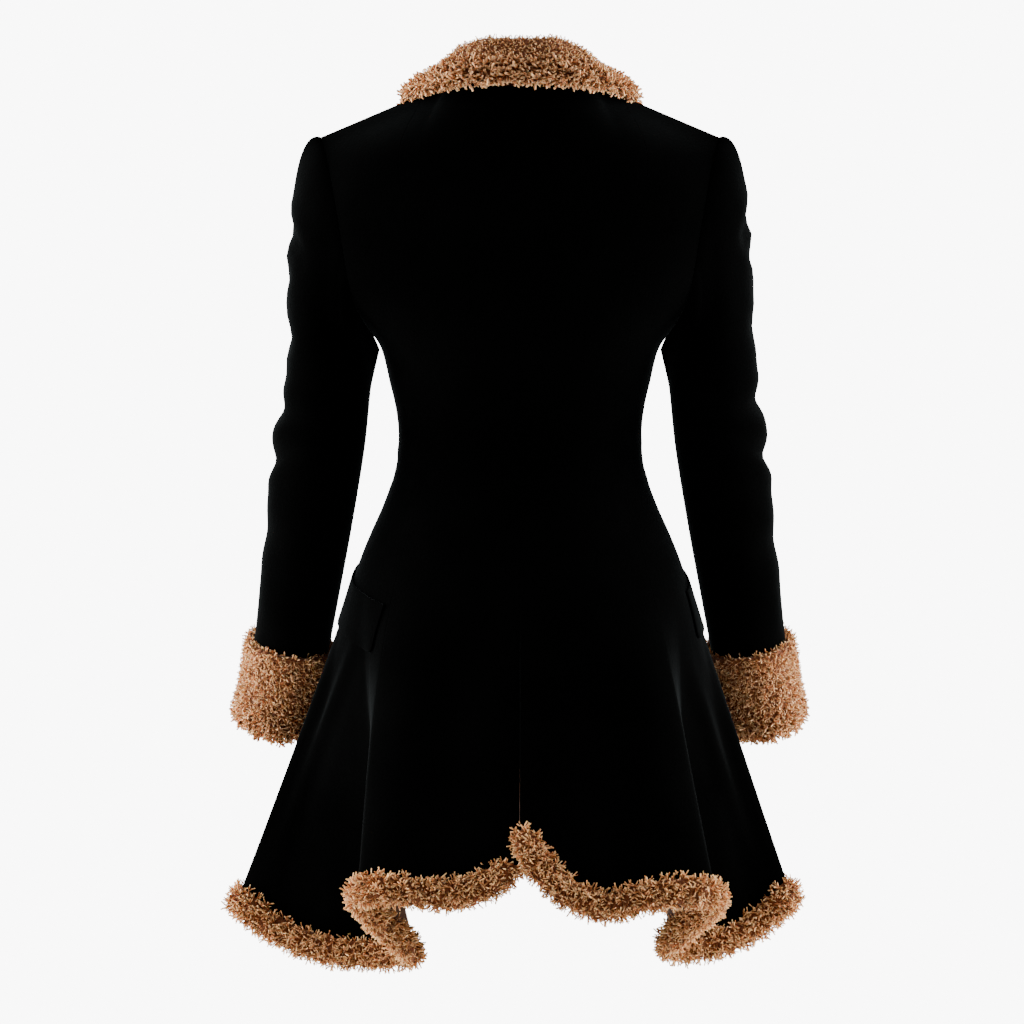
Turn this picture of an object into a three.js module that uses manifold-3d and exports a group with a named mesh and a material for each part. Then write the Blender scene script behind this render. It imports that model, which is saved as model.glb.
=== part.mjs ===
// A fitted and flared velvet coat with curly fur at its collar, cuffs and hem, hollow as it is when worn.
// Millimetres, +Z up. The front faces -Y and the wearer's left is +X.
// The origin is the middle of the neck's base, where the wearer's shoulders hold the coat.
import * as THREE from "three";
import { mergeVertices } from "three/addons/utils/BufferGeometryUtils.js";
import Module from "manifold-3d";

const wasm = await Module();
wasm.setup();

// Cloth and seams
const WALL = 2.0;
const LINING_WALL = 1.0;
const SEAM_GAP = 0.3;
const HALF_GAP = SEAM_GAP / 2;

// Neck and shoulders
const NECK_HALF_WIDTH = 75;
const NECK_MID_Y = 5;
const NAPE_REACH = 53;
const THROAT_REACH = 110;
const THROAT_Z = -105;
const THROAT_ROUNDNESS = 1.5;
const SHOULDER_POINT = [203, 0, -46];
const NECK_POINT = [NECK_HALF_WIDTH, NECK_MID_Y, 8];
const NECK_POINT_AT = 0.42; // how far along the half neckline the shoulder seam meets it
const SHOULDER_UP = new THREE.Vector3(0.39, 0, 0.92).normalize();

// Rings of the body, from the underarm to the hip: half width, and depth behind and in front
const RING_SQUARENESS = 0.9;
const BODY_RINGS = [
  { name: "hip", z: -518, width: 176, back: 130, front: 118 },
  { name: "high hip", z: -470, width: 161, back: 116, front: 113 },
  { name: "below waist", z: -420, width: 139, back: 100, front: 108 },
  { name: "low waist", z: -385, width: 127, back: 90, front: 104 },
  { name: "waist", z: -350, width: 124, back: 88, front: 104 },
  { name: "high waist", z: -320, width: 127, back: 94, front: 113 },
  { name: "ribs", z: -290, width: 134, back: 101, front: 123 },
  { name: "underarm", z: -262, width: 143, back: 106, front: 128 },
];
const SIDE = 0.5; // share of the half ring at the side seam

// Rows above the underarm, each from the middle of the panel to the armhole's edge.
// turn is how far the row bends round before it meets the armhole.
const BACK_ROWS = [
  { name: "chest", midY: 107, midZ: -205, armX: 168, armY: 55, armZ: -215, turn: 30 },
  { name: "blade", midY: 100, midZ: -130, armX: 184, armY: 52, armZ: -130, turn: 26 },
  { name: "yoke", midY: 84, midZ: -58, armX: 194, armY: 32, armZ: -78, turn: 22 },
];
const FRONT_ROWS = [
  { name: "chest", midY: -127, midZ: -215, armX: 164, armY: -52, armZ: -215, turn: -34 },
  { name: "bust", midY: -120, midZ: -172, armX: 178, armY: -46, armZ: -130, turn: -28 },
  { name: "yoke", midY: -112, midZ: -132, armX: 190, armY: -28, armZ: -78, turn: -22 },
];
const ROW_START_REACH = 0.5;
const ROW_END_REACH = 0.16;
const BACK_NECK_SHARE = 0.2;
const FRONT_NECK_SHARE = 0.8;

// The hem's line from the centre back to the centre front of each side, at the middle of the fur.
// ring is the share of the hip ring that each point hangs from, and steps the grid steps to the next.
const HEM_LEFT = [
  { name: "centre back", x: 0, y: 190, z: -772, ring: 0, steps: 1 },
  { name: "vent edge", x: 14, y: 191, z: -779, ring: 0.018, steps: 1 },
  { name: "scallop rise", x: 38, y: 194, z: -792, ring: 0.05, steps: 1 },
  { name: "scallop", x: 64, y: 197, z: -799, ring: 0.1, steps: 1 },
  { name: "back flat", x: 118, y: 195, z: -795, ring: 0.19, steps: 1 },
  { name: "back fold in", x: 144, y: 188, z: -795, ring: 0.225, steps: 1 },
  { name: "back fold", x: 159, y: 172, z: -801, ring: 0.25, steps: 1 },
  { name: "back fold out", x: 152, y: 149, z: -814, ring: 0.27, steps: 1 },
  { name: "pleat", x: 134, y: 121, z: -837, ring: 0.295, steps: 1 },
  { name: "valley in", x: 115, y: 99, z: -857, ring: 0.315, steps: 1 },
  { name: "valley", x: 108, y: 80, z: -867, ring: 0.33, steps: 1 },
  { name: "valley out", x: 125, y: 64, z: -871, ring: 0.35, steps: 1 },
  { name: "side panel", x: 156, y: 53, z: -873, ring: 0.38, steps: 1 },
  { name: "side swell", x: 198, y: 46, z: -868, ring: 0.42, steps: 1 },
  { name: "side rise", x: 242, y: 36, z: -852, ring: 0.465, steps: 1 },
  { name: "side fold", x: 286, y: 22, z: -820, ring: 0.5, steps: 1 },
  { name: "side fold out", x: 266, y: -12, z: -832, ring: 0.535, steps: 1 },
  { name: "front side", x: 231, y: -56, z: -841, ring: 0.58, steps: 1 },
  { name: "front wave", x: 195, y: -104, z: -845, ring: 0.64, steps: 1 },
  { name: "front swell", x: 160, y: -146, z: -838, ring: 0.72, steps: 1 },
  { name: "front flat", x: 110, y: -171, z: -822, ring: 0.82, steps: 1 },
  { name: "near front", x: 52, y: -181, z: -806, ring: 0.91, steps: 2 },
  { name: "centre front", x: 0, y: -183, z: -800, ring: 1, steps: 0 },
];
const HEM_RIGHT = [
  { name: "vent top", x: 0, y: 190, z: -738, ring: 0, steps: 1 },
  { name: "vent edge", x: 9, y: 191, z: -755, ring: 0.012, steps: 1 },
  { name: "vent curve", x: 21, y: 192, z: -773, ring: 0.027, steps: 1 },
  { name: "scallop rise", x: 39, y: 194, z: -792, ring: 0.05, steps: 1 },
  { name: "scallop", x: 80, y: 199, z: -810, ring: 0.12, steps: 1 },
  { name: "back flat", x: 130, y: 197, z: -799, ring: 0.195, steps: 1 },
  { name: "back fold in", x: 174, y: 187, z: -797, ring: 0.243, steps: 1 },
  { name: "back fold", x: 191, y: 170, z: -803, ring: 0.265, steps: 1 },
  { name: "back fold out", x: 186, y: 149, z: -815, ring: 0.28, steps: 1 },
  { name: "pleat", x: 169, y: 121, z: -833, ring: 0.302, steps: 1 },
  { name: "valley in", x: 154, y: 99, z: -849, ring: 0.32, steps: 1 },
  { name: "valley", x: 147, y: 80, z: -858, ring: 0.335, steps: 1 },
  { name: "valley out", x: 159, y: 64, z: -864, ring: 0.355, steps: 1 },
  { name: "side panel", x: 186, y: 53, z: -864, ring: 0.385, steps: 1 },
  { name: "side swell", x: 217, y: 46, z: -856, ring: 0.42, steps: 1 },
  { name: "side rise", x: 241, y: 36, z: -842, ring: 0.462, steps: 1 },
  { name: "side fold", x: 274, y: 22, z: -814, ring: 0.5, steps: 1 },
  { name: "side fold out", x: 260, y: -12, z: -832, ring: 0.535, steps: 1 },
  { name: "front side", x: 228, y: -56, z: -841, ring: 0.58, steps: 1 },
  { name: "front wave", x: 193, y: -104, z: -845, ring: 0.64, steps: 1 },
  { name: "front swell", x: 160, y: -146, z: -838, ring: 0.72, steps: 1 },
  { name: "front flat", x: 110, y: -171, z: -822, ring: 0.82, steps: 1 },
  { name: "near front", x: 52, y: -181, z: -806, ring: 0.91, steps: 2 },
  { name: "centre front", x: 0, y: -183, z: -800, ring: 1, steps: 0 },
];
const FLARE = { width: 270, back: 172, front: 196, midY: 18 };
const FOLD_EASE = 1.35; // folds start softly below the hip and deepen towards the hem
const SKIRT_ROWS = 6;
const UPPER_STEPS = 2; // grid steps between two rows above the underarm

// The front closes with the wearer's right over the left.
const BUTTON_STAND = 0.035;
const UNDERLAP_FROM = 0.955;
const UNDERLAP_DEPTH = 3.2;
const UNDERLAP_RAMP = 0.02;

// Fur round the hem
const HEM_FUR = { thickness: 13, height: 18, corners: 8, endRound: 16, endShare: 0.12 };
const LEFT_TRIM_SHARE = [0.006, 0.955];


// Sleeves: the axis and the half sizes of each ring, from the upper arm to the cuff's end
const ARM_RINGS = [
  { name: "upper arm", x: 197, y: 2, z: -300, across: 45, deep: 54 },
  { name: "above elbow", x: 204, y: 4, z: -355, across: 46.5, deep: 52 },
  { name: "elbow", x: 215, y: -2, z: -437, across: 44, deep: 49 },
  { name: "forearm", x: 225, y: -24, z: -500, across: 41.5, deep: 46 },
  { name: "cuff top", x: 235, y: -52, z: -560, across: 39, deep: 43 },
  { name: "cuff", x: 245, y: -77, z: -610, across: 38, deep: 41 },
  { name: "cuff end", x: 251, y: -100, z: -658, across: 38, deep: 41 },
];
const ARM_STEPS = 2;
const HEAD_STEPS = [0, 0.08, 0.19, 0.32, 0.48, 0.65, 0.83, 1];
const HEAD_START = { shoulder: [115, 0, 38], underarm: [8, 0, -38] };
const HEAD_END = { shoulder: [20, 0, -260], underarm: [5, 0, -38] };
// Grid columns round the arm, counted from the back seam; the front seam is where the under sleeve ends
const SLEEVE_SEAMS = { backAt: 5 / 16, frontColumn: 6 };
const CUFF_TOP_RING = 4;
const CUFF_OVERLAP = 12;
// Section of a cuff: distance down the arm from its top edge, and distance out from the sleeve
const CUFF_SECTION = [
  { down: 1, out: 0.5 },
  { down: 0, out: 5 },
  { down: 5, out: 9 },
  { down: 28, out: 8.5 },
  { down: 58, out: 8 },
  { down: 74, out: 12 },
  { down: 87, out: 12 },
  { down: 95, out: 7 },
  { down: 96, out: 0 },
  { down: 89, out: -5 },
  { down: 12.4, out: -5 },
  { down: 12.4, out: 0.5 },
];

// Collar: where its roll and its outer edge lie, out from and above the neck seam.
// at runs along the half neckline from the nape to the throat.
const COLLAR_SECTIONS = [
  { name: "nape", at: 0, rollOut: 4, rollUp: 45, edgeOut: 31, edgeUp: 5 },
  { name: "behind neck", at: 0.13, rollOut: 2, rollUp: 44, edgeOut: 33, edgeUp: 1 },
  { name: "back corner", at: 0.25, rollOut: -3, rollUp: 34, edgeOut: 37, edgeUp: -5 },
  { name: "behind shoulder", at: 0.33, rollOut: -6, rollUp: 23, edgeOut: 38, edgeUp: -9 },
  { name: "shoulder", at: 0.42, rollOut: -2, rollUp: 16, edgeOut: 41, edgeUp: -12 },
  { name: "before shoulder", at: 0.6, rollOut: 2, rollUp: 15, edgeOut: 46, edgeUp: -23 },
  { name: "chest", at: 0.8, rollOut: 6, rollUp: 17, edgeOut: 40, edgeUp: -36 },
  { name: "front end", at: 0.95, rollOut: 6, rollUp: 13, edgeOut: 24, edgeUp: -44 },
];
// Half the collar's thickness from its neck seam to its outer edge
const COLLAR_HALF_THICKNESS = [2.5, 2.5, 2.5, 3, 3.5, 4, 4, 2.5];
const COLLAR_FALL = 0.45; // how far down the collar has come half way out to its edge
const COLLAR_STATIONS = 14;
const COLLAR_SEAM_OUT = -4;
const COLLAR_SEAM_UP = 2;
const COLLAR_CLEARANCE = 0.8;

// Pocket flaps, laid on the side panels and the fronts
const FLAP_ROWS_ABOVE = 4; // grid rows above the hip that the flaps reach over
const FLAP = { height: 50, wall: 2.5, corner: 8, fromX: 90, toX: 230 };
const FLAPS = [
  { side: "left", fromY: 91, toY: -36, fromZ: -521, toZ: -476 },
  { side: "right", fromY: 40, toY: -84, fromZ: -509, toZ: -465 },
];

// Buttons down the front
const BUTTON = { radius: 12.5, thickness: 4.5, dish: 1.2, rim: 2.5, corners: 14 };
const BUTTON_SUNK = 1; // how far the back is let in before the cloth is cut away from it
const BUTTON_SHARE = 0.995;
const BUTTON_HEIGHTS = [-170, -228, -286, -344, -402];

const COLOURS = { velvet: 0x0a0a0b, fur: 0xb98a5c, lining: 0x3a1f14, horn: 0x141210 };

const vec = (x, y, z) => new THREE.Vector3(x, y, z);
const lerp = THREE.MathUtils.lerp;
const smooth = THREE.MathUtils.smoothstep;

// A smooth line through points, read at a position counted in points.
function lineThrough(points) {
  const curve = new THREE.CatmullRomCurve3(points, false, "centripetal");
  return (position) => curve.getPoint(position / (points.length - 1));
}

// A value read from a table between its rows.
function readTable(table, key, by, at) {
  const next = table.findIndex((row) => row[by] >= at);
  if (next === 0) return table[0][key];
  if (next < 0) return table[table.length - 1][key];
  const [a, b] = [table[next - 1], table[next]];
  return lerp(a[key], b[key], (at - a[by]) / (b[by] - a[by]));
}

const signedPower = (value, power) => Math.sign(value) * Math.abs(value) ** power;

// A point on a ring round the body; share runs from the centre back to the centre front.
function ringPoint(ring, share) {
  const angle = Math.PI * share;
  const depth = share < SIDE ? ring.back : ring.front;
  return vec(
    ring.width * signedPower(Math.sin(angle), RING_SQUARENESS),
    depth * signedPower(Math.cos(angle), RING_SQUARENESS),
    ring.z,
  );
}

// The half neckline, from the nape to the throat.
function necklinePoint(at) {
  if (at <= NECK_POINT_AT) {
    const turn = (at / NECK_POINT_AT) * (Math.PI / 2);
    return vec(
      NECK_HALF_WIDTH * Math.sin(turn),
      NECK_MID_Y + NAPE_REACH * Math.cos(turn),
      NECK_POINT[2] * Math.sin(turn) ** 2,
    );
  }
  const turn = ((at - NECK_POINT_AT) / (1 - NECK_POINT_AT)) * (Math.PI / 2);
  return vec(
    NECK_HALF_WIDTH * Math.cos(turn),
    NECK_MID_Y - THROAT_REACH * Math.sin(turn),
    lerp(NECK_POINT[2], THROAT_Z, Math.sin(turn) ** THROAT_ROUNDNESS),
  );
}

// The top edge of the panels: neckline and shoulder seam.
function topPoint(share) {
  const neck = vec(...NECK_POINT);
  const shoulder = vec(...SHOULDER_POINT);
  if (share <= BACK_NECK_SHARE) return necklinePoint((share / BACK_NECK_SHARE) * NECK_POINT_AT);
  if (share <= SIDE) {
    return neck.lerp(shoulder, (share - BACK_NECK_SHARE) / (SIDE - BACK_NECK_SHARE));
  }
  if (share <= FRONT_NECK_SHARE) {
    return shoulder.lerp(neck, (share - SIDE) / (FRONT_NECK_SHARE - SIDE));
  }
  const along = (share - FRONT_NECK_SHARE) / (1 - FRONT_NECK_SHARE);
  return necklinePoint(lerp(NECK_POINT_AT, 1, along));
}

// A point of a row between the underarm and the shoulder.
function upperRowPoint(row, share) {
  const along = share < SIDE ? share / SIDE : (1 - share) / (1 - SIDE);
  const curve = new THREE.CubicBezierCurve3(
    vec(0, row.midY, row.midZ),
    vec(row.armX * ROW_START_REACH, row.midY, row.midZ),
    vec(row.armX * (1 - ROW_END_REACH), row.armY + row.turn, row.armZ),
    vec(row.armX, row.armY, row.armZ),
  );
  return curve.getPoint(along);
}

// One half of the body as a surface. column counts along the hem's table, and level runs
// from 0 at the hem to 1 at the hip, on to the underarm and up to the shoulder.
class BodyHalf {
  constructor(hem, isLeft) {
    this.hem = hem;
    this.isLeft = isLeft;
    this.hemLine = lineThrough(hem.map((row) => vec(row.x, row.y, row.z)));
    this.underarm = BODY_RINGS.length;
    this.top = this.underarm + BACK_ROWS.length + 1;
    this.sideColumn = hem.findIndex((row) => row.ring === SIDE);
    this.lastColumn = hem.length - 1;
  }

  share(column) {
    const i = Math.min(Math.floor(column), this.lastColumn - 1);
    return lerp(this.hem[i].ring, this.hem[i + 1].ring, column - i);
  }

  columnOf(share) {
    const i = Math.max(1, this.hem.findIndex((row) => row.ring >= share));
    const [a, b] = [this.hem[i - 1].ring, this.hem[i].ring];
    return i - 1 + (share - a) / (b - a);
  }

  // The column's line from the hip up to the top edge; columns at the side belong to the back or the front.
  uprightLine(share, isFront) {
    const rows = isFront ? FRONT_ROWS : BACK_ROWS;
    return lineThrough([
      ...BODY_RINGS.map((ring) => ringPoint(ring, share)),
      ...rows.map((row) => upperRowPoint(row, share)),
      topPoint(share),
    ]);
  }

  skirtPoint(column, share, level) {
    const hem = this.hemLine(column);
    const hip = ringPoint(BODY_RINGS[0], share);
    const flare = ringPoint({ ...FLARE, z: hem.z }, share);
    flare.y += FLARE.midY;
    const down = 1 - level;
    return hip.clone().lerp(flare, down).addScaledVector(hem.sub(flare), down ** FOLD_EASE);
  }

  // A column past the centre front is the mirror image of the one as far before it.
  column(column, levels, isFront) {
    if (column > this.lastColumn) {
      const mirrored = this.column(2 * this.lastColumn - column, levels, true);
      return mirrored.map((p) => p.setX(-p.x));
    }
    const share = this.share(column);
    const upright = this.uprightLine(share, isFront);
    const sign = this.isLeft ? 1 : -1;
    return levels.map((level) => {
      const p = level < 1 ? this.skirtPoint(column, share, level) : upright(level - 1);
      if (this.isLeft) p.y += this.underlap(share) * Math.sign(-p.y);
      return p.setX(p.x * sign);
    });
  }

  // How far the left front is set in, to pass under the right one.
  underlap(share) {
    return UNDERLAP_DEPTH * smooth(share, UNDERLAP_FROM - UNDERLAP_RAMP, UNDERLAP_FROM);
  }
}

// Rows of points with the direction of the cloth's thickness at each.
class Grid {
  constructor(rows) {
    this.rows = rows;
    this.normals = this.rows.map((row, r) => row.map((_, c) => this.crossAt(r, c)));
  }

  crossAt(r, c) {
    const last = this.rows.length - 1;
    const lastColumn = this.rows[0].length - 1;
    const up = this.rows[Math.min(r + 1, last)][c].clone().sub(this.rows[Math.max(r - 1, 0)][c]);
    const along = this.rows[r][Math.min(c + 1, lastColumn)].clone();
    return along.sub(this.rows[r][Math.max(c - 1, 0)]).cross(up).normalize();
  }

  flip() {
    this.normals.flat().forEach((n) => n.negate());
    return this;
  }
}

// Where two grids meet in one point, both take the same direction of thickness.
function shareNormals(grids) {
  const meeting = new Map();
  for (const grid of grids) {
    grid.rows.forEach((row, r) =>
      row.forEach((p, c) => {
        const key = [p.x, p.y, p.z].map((value) => value.toFixed(2)).join();
        if (!meeting.has(key)) meeting.set(key, []);
        meeting.get(key).push(grid.normals[r][c]);
      }),
    );
  }
  for (const normals of meeting.values()) {
    const sum = normals.reduce((total, n) => total.add(n), vec(0, 0, 0)).normalize();
    normals.forEach((n) => n.copy(sum));
  }
}

// A triangle mesh from a list of points and faces, turned to face out.
function meshOf(points, faces) {
  const volume = faces.reduce((sum, [a, b, c]) => {
    return sum + points[a].dot(points[b].clone().cross(points[c]));
  }, 0);
  const triangles = volume < 0 ? faces.map(([a, b, c]) => [a, c, b]) : faces;
  return new wasm.Manifold(
    new wasm.Mesh({
      numProp: 3,
      vertProperties: new Float32Array(points.flatMap((p) => [p.x, p.y, p.z])),
      triVerts: new Uint32Array(triangles.flat()),
    }),
  );
}

// A closed wall between two sheets of points with the same rows and columns.
function wallBetween(outer, inner) {
  const rows = outer.length;
  const columns = outer[0].length;
  const half = rows * columns;
  const at = (r, c, side) => side * half + r * columns + c;
  const faces = [];
  const quad = (a, b, c, d) => faces.push([a, b, c], [a, c, d]);
  for (let r = 0; r < rows - 1; r++) {
    for (let c = 0; c < columns - 1; c++) {
      quad(at(r, c, 0), at(r, c + 1, 0), at(r + 1, c + 1, 0), at(r + 1, c, 0));
      faces.push([at(r, c, 1), at(r + 1, c + 1, 1), at(r, c + 1, 1)]);
      faces.push([at(r, c, 1), at(r + 1, c, 1), at(r + 1, c + 1, 1)]);
    }
  }
  for (let c = 0; c < columns - 1; c++) {
    quad(at(0, c, 0), at(0, c, 1), at(0, c + 1, 1), at(0, c + 1, 0));
    quad(at(rows - 1, c + 1, 0), at(rows - 1, c + 1, 1), at(rows - 1, c, 1), at(rows - 1, c, 0));
  }
  for (let r = 0; r < rows - 1; r++) {
    quad(at(r + 1, 0, 0), at(r + 1, 0, 1), at(r, 0, 1), at(r, 0, 0));
    const c = columns - 1;
    quad(at(r, c, 0), at(r, c, 1), at(r + 1, c, 1), at(r + 1, c, 0));
  }
  return meshOf([...outer.flat(), ...inner.flat()], faces);
}

// A closed solid swept through sections that each have the same number of points round them.
function loftThrough(sections) {
  const count = sections[0].length;
  const points = sections.flat();
  const faces = [];
  for (let s = 0; s < sections.length - 1; s++) {
    for (let i = 0; i < count; i++) {
      const [a, b] = [s * count + i, s * count + ((i + 1) % count)];
      faces.push([a, b, b + count], [a, b + count, a + count]);
    }
  }
  const last = points.length - count;
  const caps = THREE.ShapeUtils.triangulateShape(flatten(sections[0]), []);
  const endCaps = THREE.ShapeUtils.triangulateShape(flatten(sections.at(-1)), []);
  for (const [a, b, c] of caps) faces.push([a, c, b]);
  for (const [a, b, c] of endCaps) faces.push([last + a, last + b, last + c]);
  return meshOf(points, faces);
}

// A closed section in its own plane, anticlockwise as the caps need it.
function flatten(section) {
  const across = section[1].clone().sub(section[0]).normalize();
  const normal = vec(0, 0, 0);
  section.forEach((p, i) => normal.add(p.clone().cross(section[(i + 1) % section.length])));
  const up = normal.normalize().cross(across);
  return section.map((p) => new THREE.Vector2(p.dot(across), p.dot(up)));
}

// A ring swept round an axis: every section is joined to the next and the last to the first.
function ringThrough(sections) {
  const count = sections[0].length;
  const points = sections.flat();
  const faces = [];
  for (let s = 0; s < sections.length; s++) {
    const next = (s + 1) % sections.length;
    for (let i = 0; i < count; i++) {
      const j = (i + 1) % count;
      const [a, b, c, d] = [s * count + i, s * count + j, next * count + j, next * count + i];
      faces.push([a, b, c], [a, c, d]);
    }
  }
  return meshOf(points, faces);
}

// Only the largest body of a cut solid; crumbs that a cut leaves are dropped.
function mainBody(solid) {
  const bodies = solid.decompose();
  return bodies.reduce((best, body) => (body.volume() > best.volume() ? body : best));
}

const cutBy = (solid, cutters) => mainBody(cutters.reduce((left, cutter) => left.subtract(cutter), solid));

// Points of a grid between two columns and rows, moved in by depth, with its cut edges pulled in by half a seam gap.
function sheetOf(grid, columns, rows, depth) {
  const [c0, c1] = columns;
  const [r0, r1] = rows;
  const moved = [];
  for (let r = r0; r <= r1; r++) {
    moved.push([]);
    for (let c = c0; c <= c1; c++) {
      moved.at(-1).push(grid.rows[r][c].clone().addScaledVector(grid.normals[r][c], -depth));
    }
  }
  const pull = (p, towards) => p.add(towards.clone().sub(p).setLength(HALF_GAP));
  moved.forEach((row) => {
    const [second, secondLast] = [row[1].clone(), row.at(-2).clone()];
    pull(row[0], second);
    pull(row.at(-1), secondLast);
  });
  const above = moved.at(-2).map((p) => p.clone());
  moved.at(-1).forEach((p, c) => pull(p, above[c]));
  return moved;
}

function panel(grid, columns, rows, wall = WALL, setIn = 0) {
  return wallBetween(sheetOf(grid, columns, rows, setIn), sheetOf(grid, columns, rows, setIn + wall));
}

// A grid's points moved out, with nothing taken off its edges.
function movedSheet(grid, out, lastColumn = grid.rows[0].length - 1) {
  return grid.rows.map((row, r) =>
    row.slice(0, lastColumn + 1).map((p, c) => p.clone().addScaledVector(grid.normals[r][c], out)),
  );
}

// A wall a seam gap larger than the cloth on both its faces, to cut what is laid or sewn on it.
function clearanceOf(grid, lastColumn) {
  const faces = [SEAM_GAP, -WALL - SEAM_GAP];
  return wallBetween(...faces.map((out) => movedSheet(grid, out, lastColumn)));
}

// The back and the front of one half as one grid, joined at the side.
function joinedGrid(back, front, rowCount, lastColumn) {
  const join = (a, b) => a.slice(0, rowCount).map((row, r) => [...row, ...b[r].slice(1, lastColumn)]);
  return { rows: join(back.rows, front.rows), normals: join(back.normals, front.normals) };
}

// Grid columns from the hem's table, split as its steps column says.
function gridColumns(half, from, to) {
  const columns = [];
  for (let c = from; c < to; c++) {
    const steps = Math.max(1, half.hem[c]?.steps ?? 1);
    for (let s = 0; s < steps; s++) columns.push(c + s / steps);
  }
  columns.push(to);
  return columns;
}

function levelsOf(half) {
  const levels = [];
  for (let i = 0; i < SKIRT_ROWS; i++) levels.push(i / SKIRT_ROWS);
  for (let i = 1; i < half.underarm; i++) levels.push(i);
  const steps = (half.top - half.underarm) * UPPER_STEPS;
  for (let i = 0; i <= steps; i++) levels.push(half.underarm + i / UPPER_STEPS);
  return levels;
}

// The back or the front of one half, with the columns it was made at.
function bodyGrid(half, isFront) {
  const levels = levelsOf(half);
  const from = isFront ? half.sideColumn : 0;
  const stand = half.lastColumn - half.columnOf(1 - BUTTON_STAND);
  const columns = gridColumns(half, from, isFront ? half.lastColumn : half.sideColumn);
  if (isFront) columns.push(half.lastColumn + stand / 2, half.lastColumn + stand);
  const lines = columns.map((column) => half.column(column, levels, isFront));
  const grid = new Grid(levels.map((_, r) => lines.map((line) => line[r])));
  if (half.isLeft) grid.flip();
  grid.columns = columns;
  grid.levels = levels;
  return finishEdges(grid, half, isFront);
}

// The shoulder seam leans one way on both its panels, and the centre back leans straight back.
function finishEdges(grid, half, isFront) {
  const top = grid.normals.at(-1);
  const up = SHOULDER_UP.clone();
  if (!half.isLeft) up.x = -up.x;
  grid.columns.forEach((column, c) => {
    const share = half.share(Math.min(column, half.lastColumn));
    const onShoulder = isFront ? share < FRONT_NECK_SHARE + 0.01 : share > BACK_NECK_SHARE - 0.01;
    if (onShoulder) top[c].copy(up);
  });
  if (!isFront) grid.normals.forEach((row) => row[0].setX(0).normalize());
  return grid;
}

// The sleeve's ring at a position counted in rows of its table, at each share of the way round
// from the shoulder, over the back of the arm, to the underarm and up the front.
class Sleeve {
  constructor(armhole, sign) {
    this.armhole = armhole;
    this.sign = sign;
    this.axis = lineThrough(ARM_RINGS.map((ring) => vec(ring.x, ring.y, ring.z)));
    this.sizes = lineThrough(ARM_RINGS.map((ring) => vec(ring.across, ring.deep, 0)));
  }

  ringPoint(position, share, out = 0) {
    const centre = this.axis(position);
    const step = 0.05;
    const before = this.axis(Math.max(0, position - step));
    const after = this.axis(Math.min(ARM_RINGS.length - 1, position + step));
    const down = after.sub(before).normalize();
    const across = vec(1, 0, 0).addScaledVector(down, -down.x).normalize();
    const deep = across.clone().cross(down).normalize();
    const size = this.sizes(position);
    const angle = 2 * Math.PI * share;
    centre.addScaledVector(across, Math.cos(angle) * (size.x + out));
    centre.addScaledVector(deep, Math.sin(angle) * (size.y + out));
    return centre;
  }

  // From the armhole's edge over the sleeve head to the first ring.
  headPoint(share, along) {
    const start = this.armhole(share);
    const end = this.ringPoint(0, share);
    const weight = Math.cos(Math.PI * share) ** 2;
    const mix = (pair) => vec(...pair.underarm).lerp(vec(...pair.shoulder), weight);
    const a = along;
    const drop = (start.z - end.z) / (SHOULDER_POINT[2] - ARM_RINGS[0].z);
    const endPull = mix(HEAD_END).multiplyScalar(lerp(1, drop, weight));
    return start
      .multiplyScalar(2 * a ** 3 - 3 * a ** 2 + 1)
      .addScaledVector(mix(HEAD_START), a ** 3 - 2 * a ** 2 + a)
      .addScaledVector(end, 3 * a ** 2 - 2 * a ** 3)
      .addScaledVector(endPull, a ** 3 - a ** 2);
  }

  // Rows run down the arm. The last stops inside the cuff.
  grid(columns) {
    const end = CUFF_TOP_RING + this.downTo(CUFF_OVERLAP);
    const below = [];
    for (let p = 1 / ARM_STEPS; p < CUFF_TOP_RING + 0.01; p += 1 / ARM_STEPS) below.push(p);
    below.push(end);
    const rows = [
      ...HEAD_STEPS.map((a) => columns.map((share) => this.headPoint(share, a))),
      ...below.map((p) => columns.map((share) => this.ringPoint(p, share))),
    ];
    rows.flat().forEach((p) => p.setX(p.x * this.sign));
    const grid = new Grid(rows);
    return this.sign < 0 ? grid : grid.flip();
  }

  // Distance down from the cuff's top edge, as a share of a ring.
  downTo(distance) {
    const rings = ARM_RINGS.length - 1 - CUFF_TOP_RING;
    const length = this.axis(CUFF_TOP_RING).distanceTo(this.axis(ARM_RINGS.length - 1));
    return (distance * rings) / length;
  }

  cuff(columns) {
    const sections = columns.slice(0, -1).map((share) =>
      CUFF_SECTION.map(({ down, out }) => {
        const p = this.ringPoint(CUFF_TOP_RING + this.downTo(down), share, out);
        return p.setX(p.x * this.sign);
      }),
    );
    return ringThrough(sections);
  }
}

// The armhole's edge of a body half as a function of the share of the way round from the shoulder.
function armholeOf(half, upperRows) {
  return (turns) => {
    const share = turns % 1;
    const isFront = share > SIDE;
    const climb = isFront ? (share - SIDE) * 2 : 1 - share * 2;
    const level = half.underarm + climb * (half.top - half.underarm);
    const snapped = Math.round(level * upperRows) / upperRows;
    const [p] = half.column(half.sideColumn, [snapped], isFront);
    return p.setX(Math.abs(p.x));
  };
}

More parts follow.
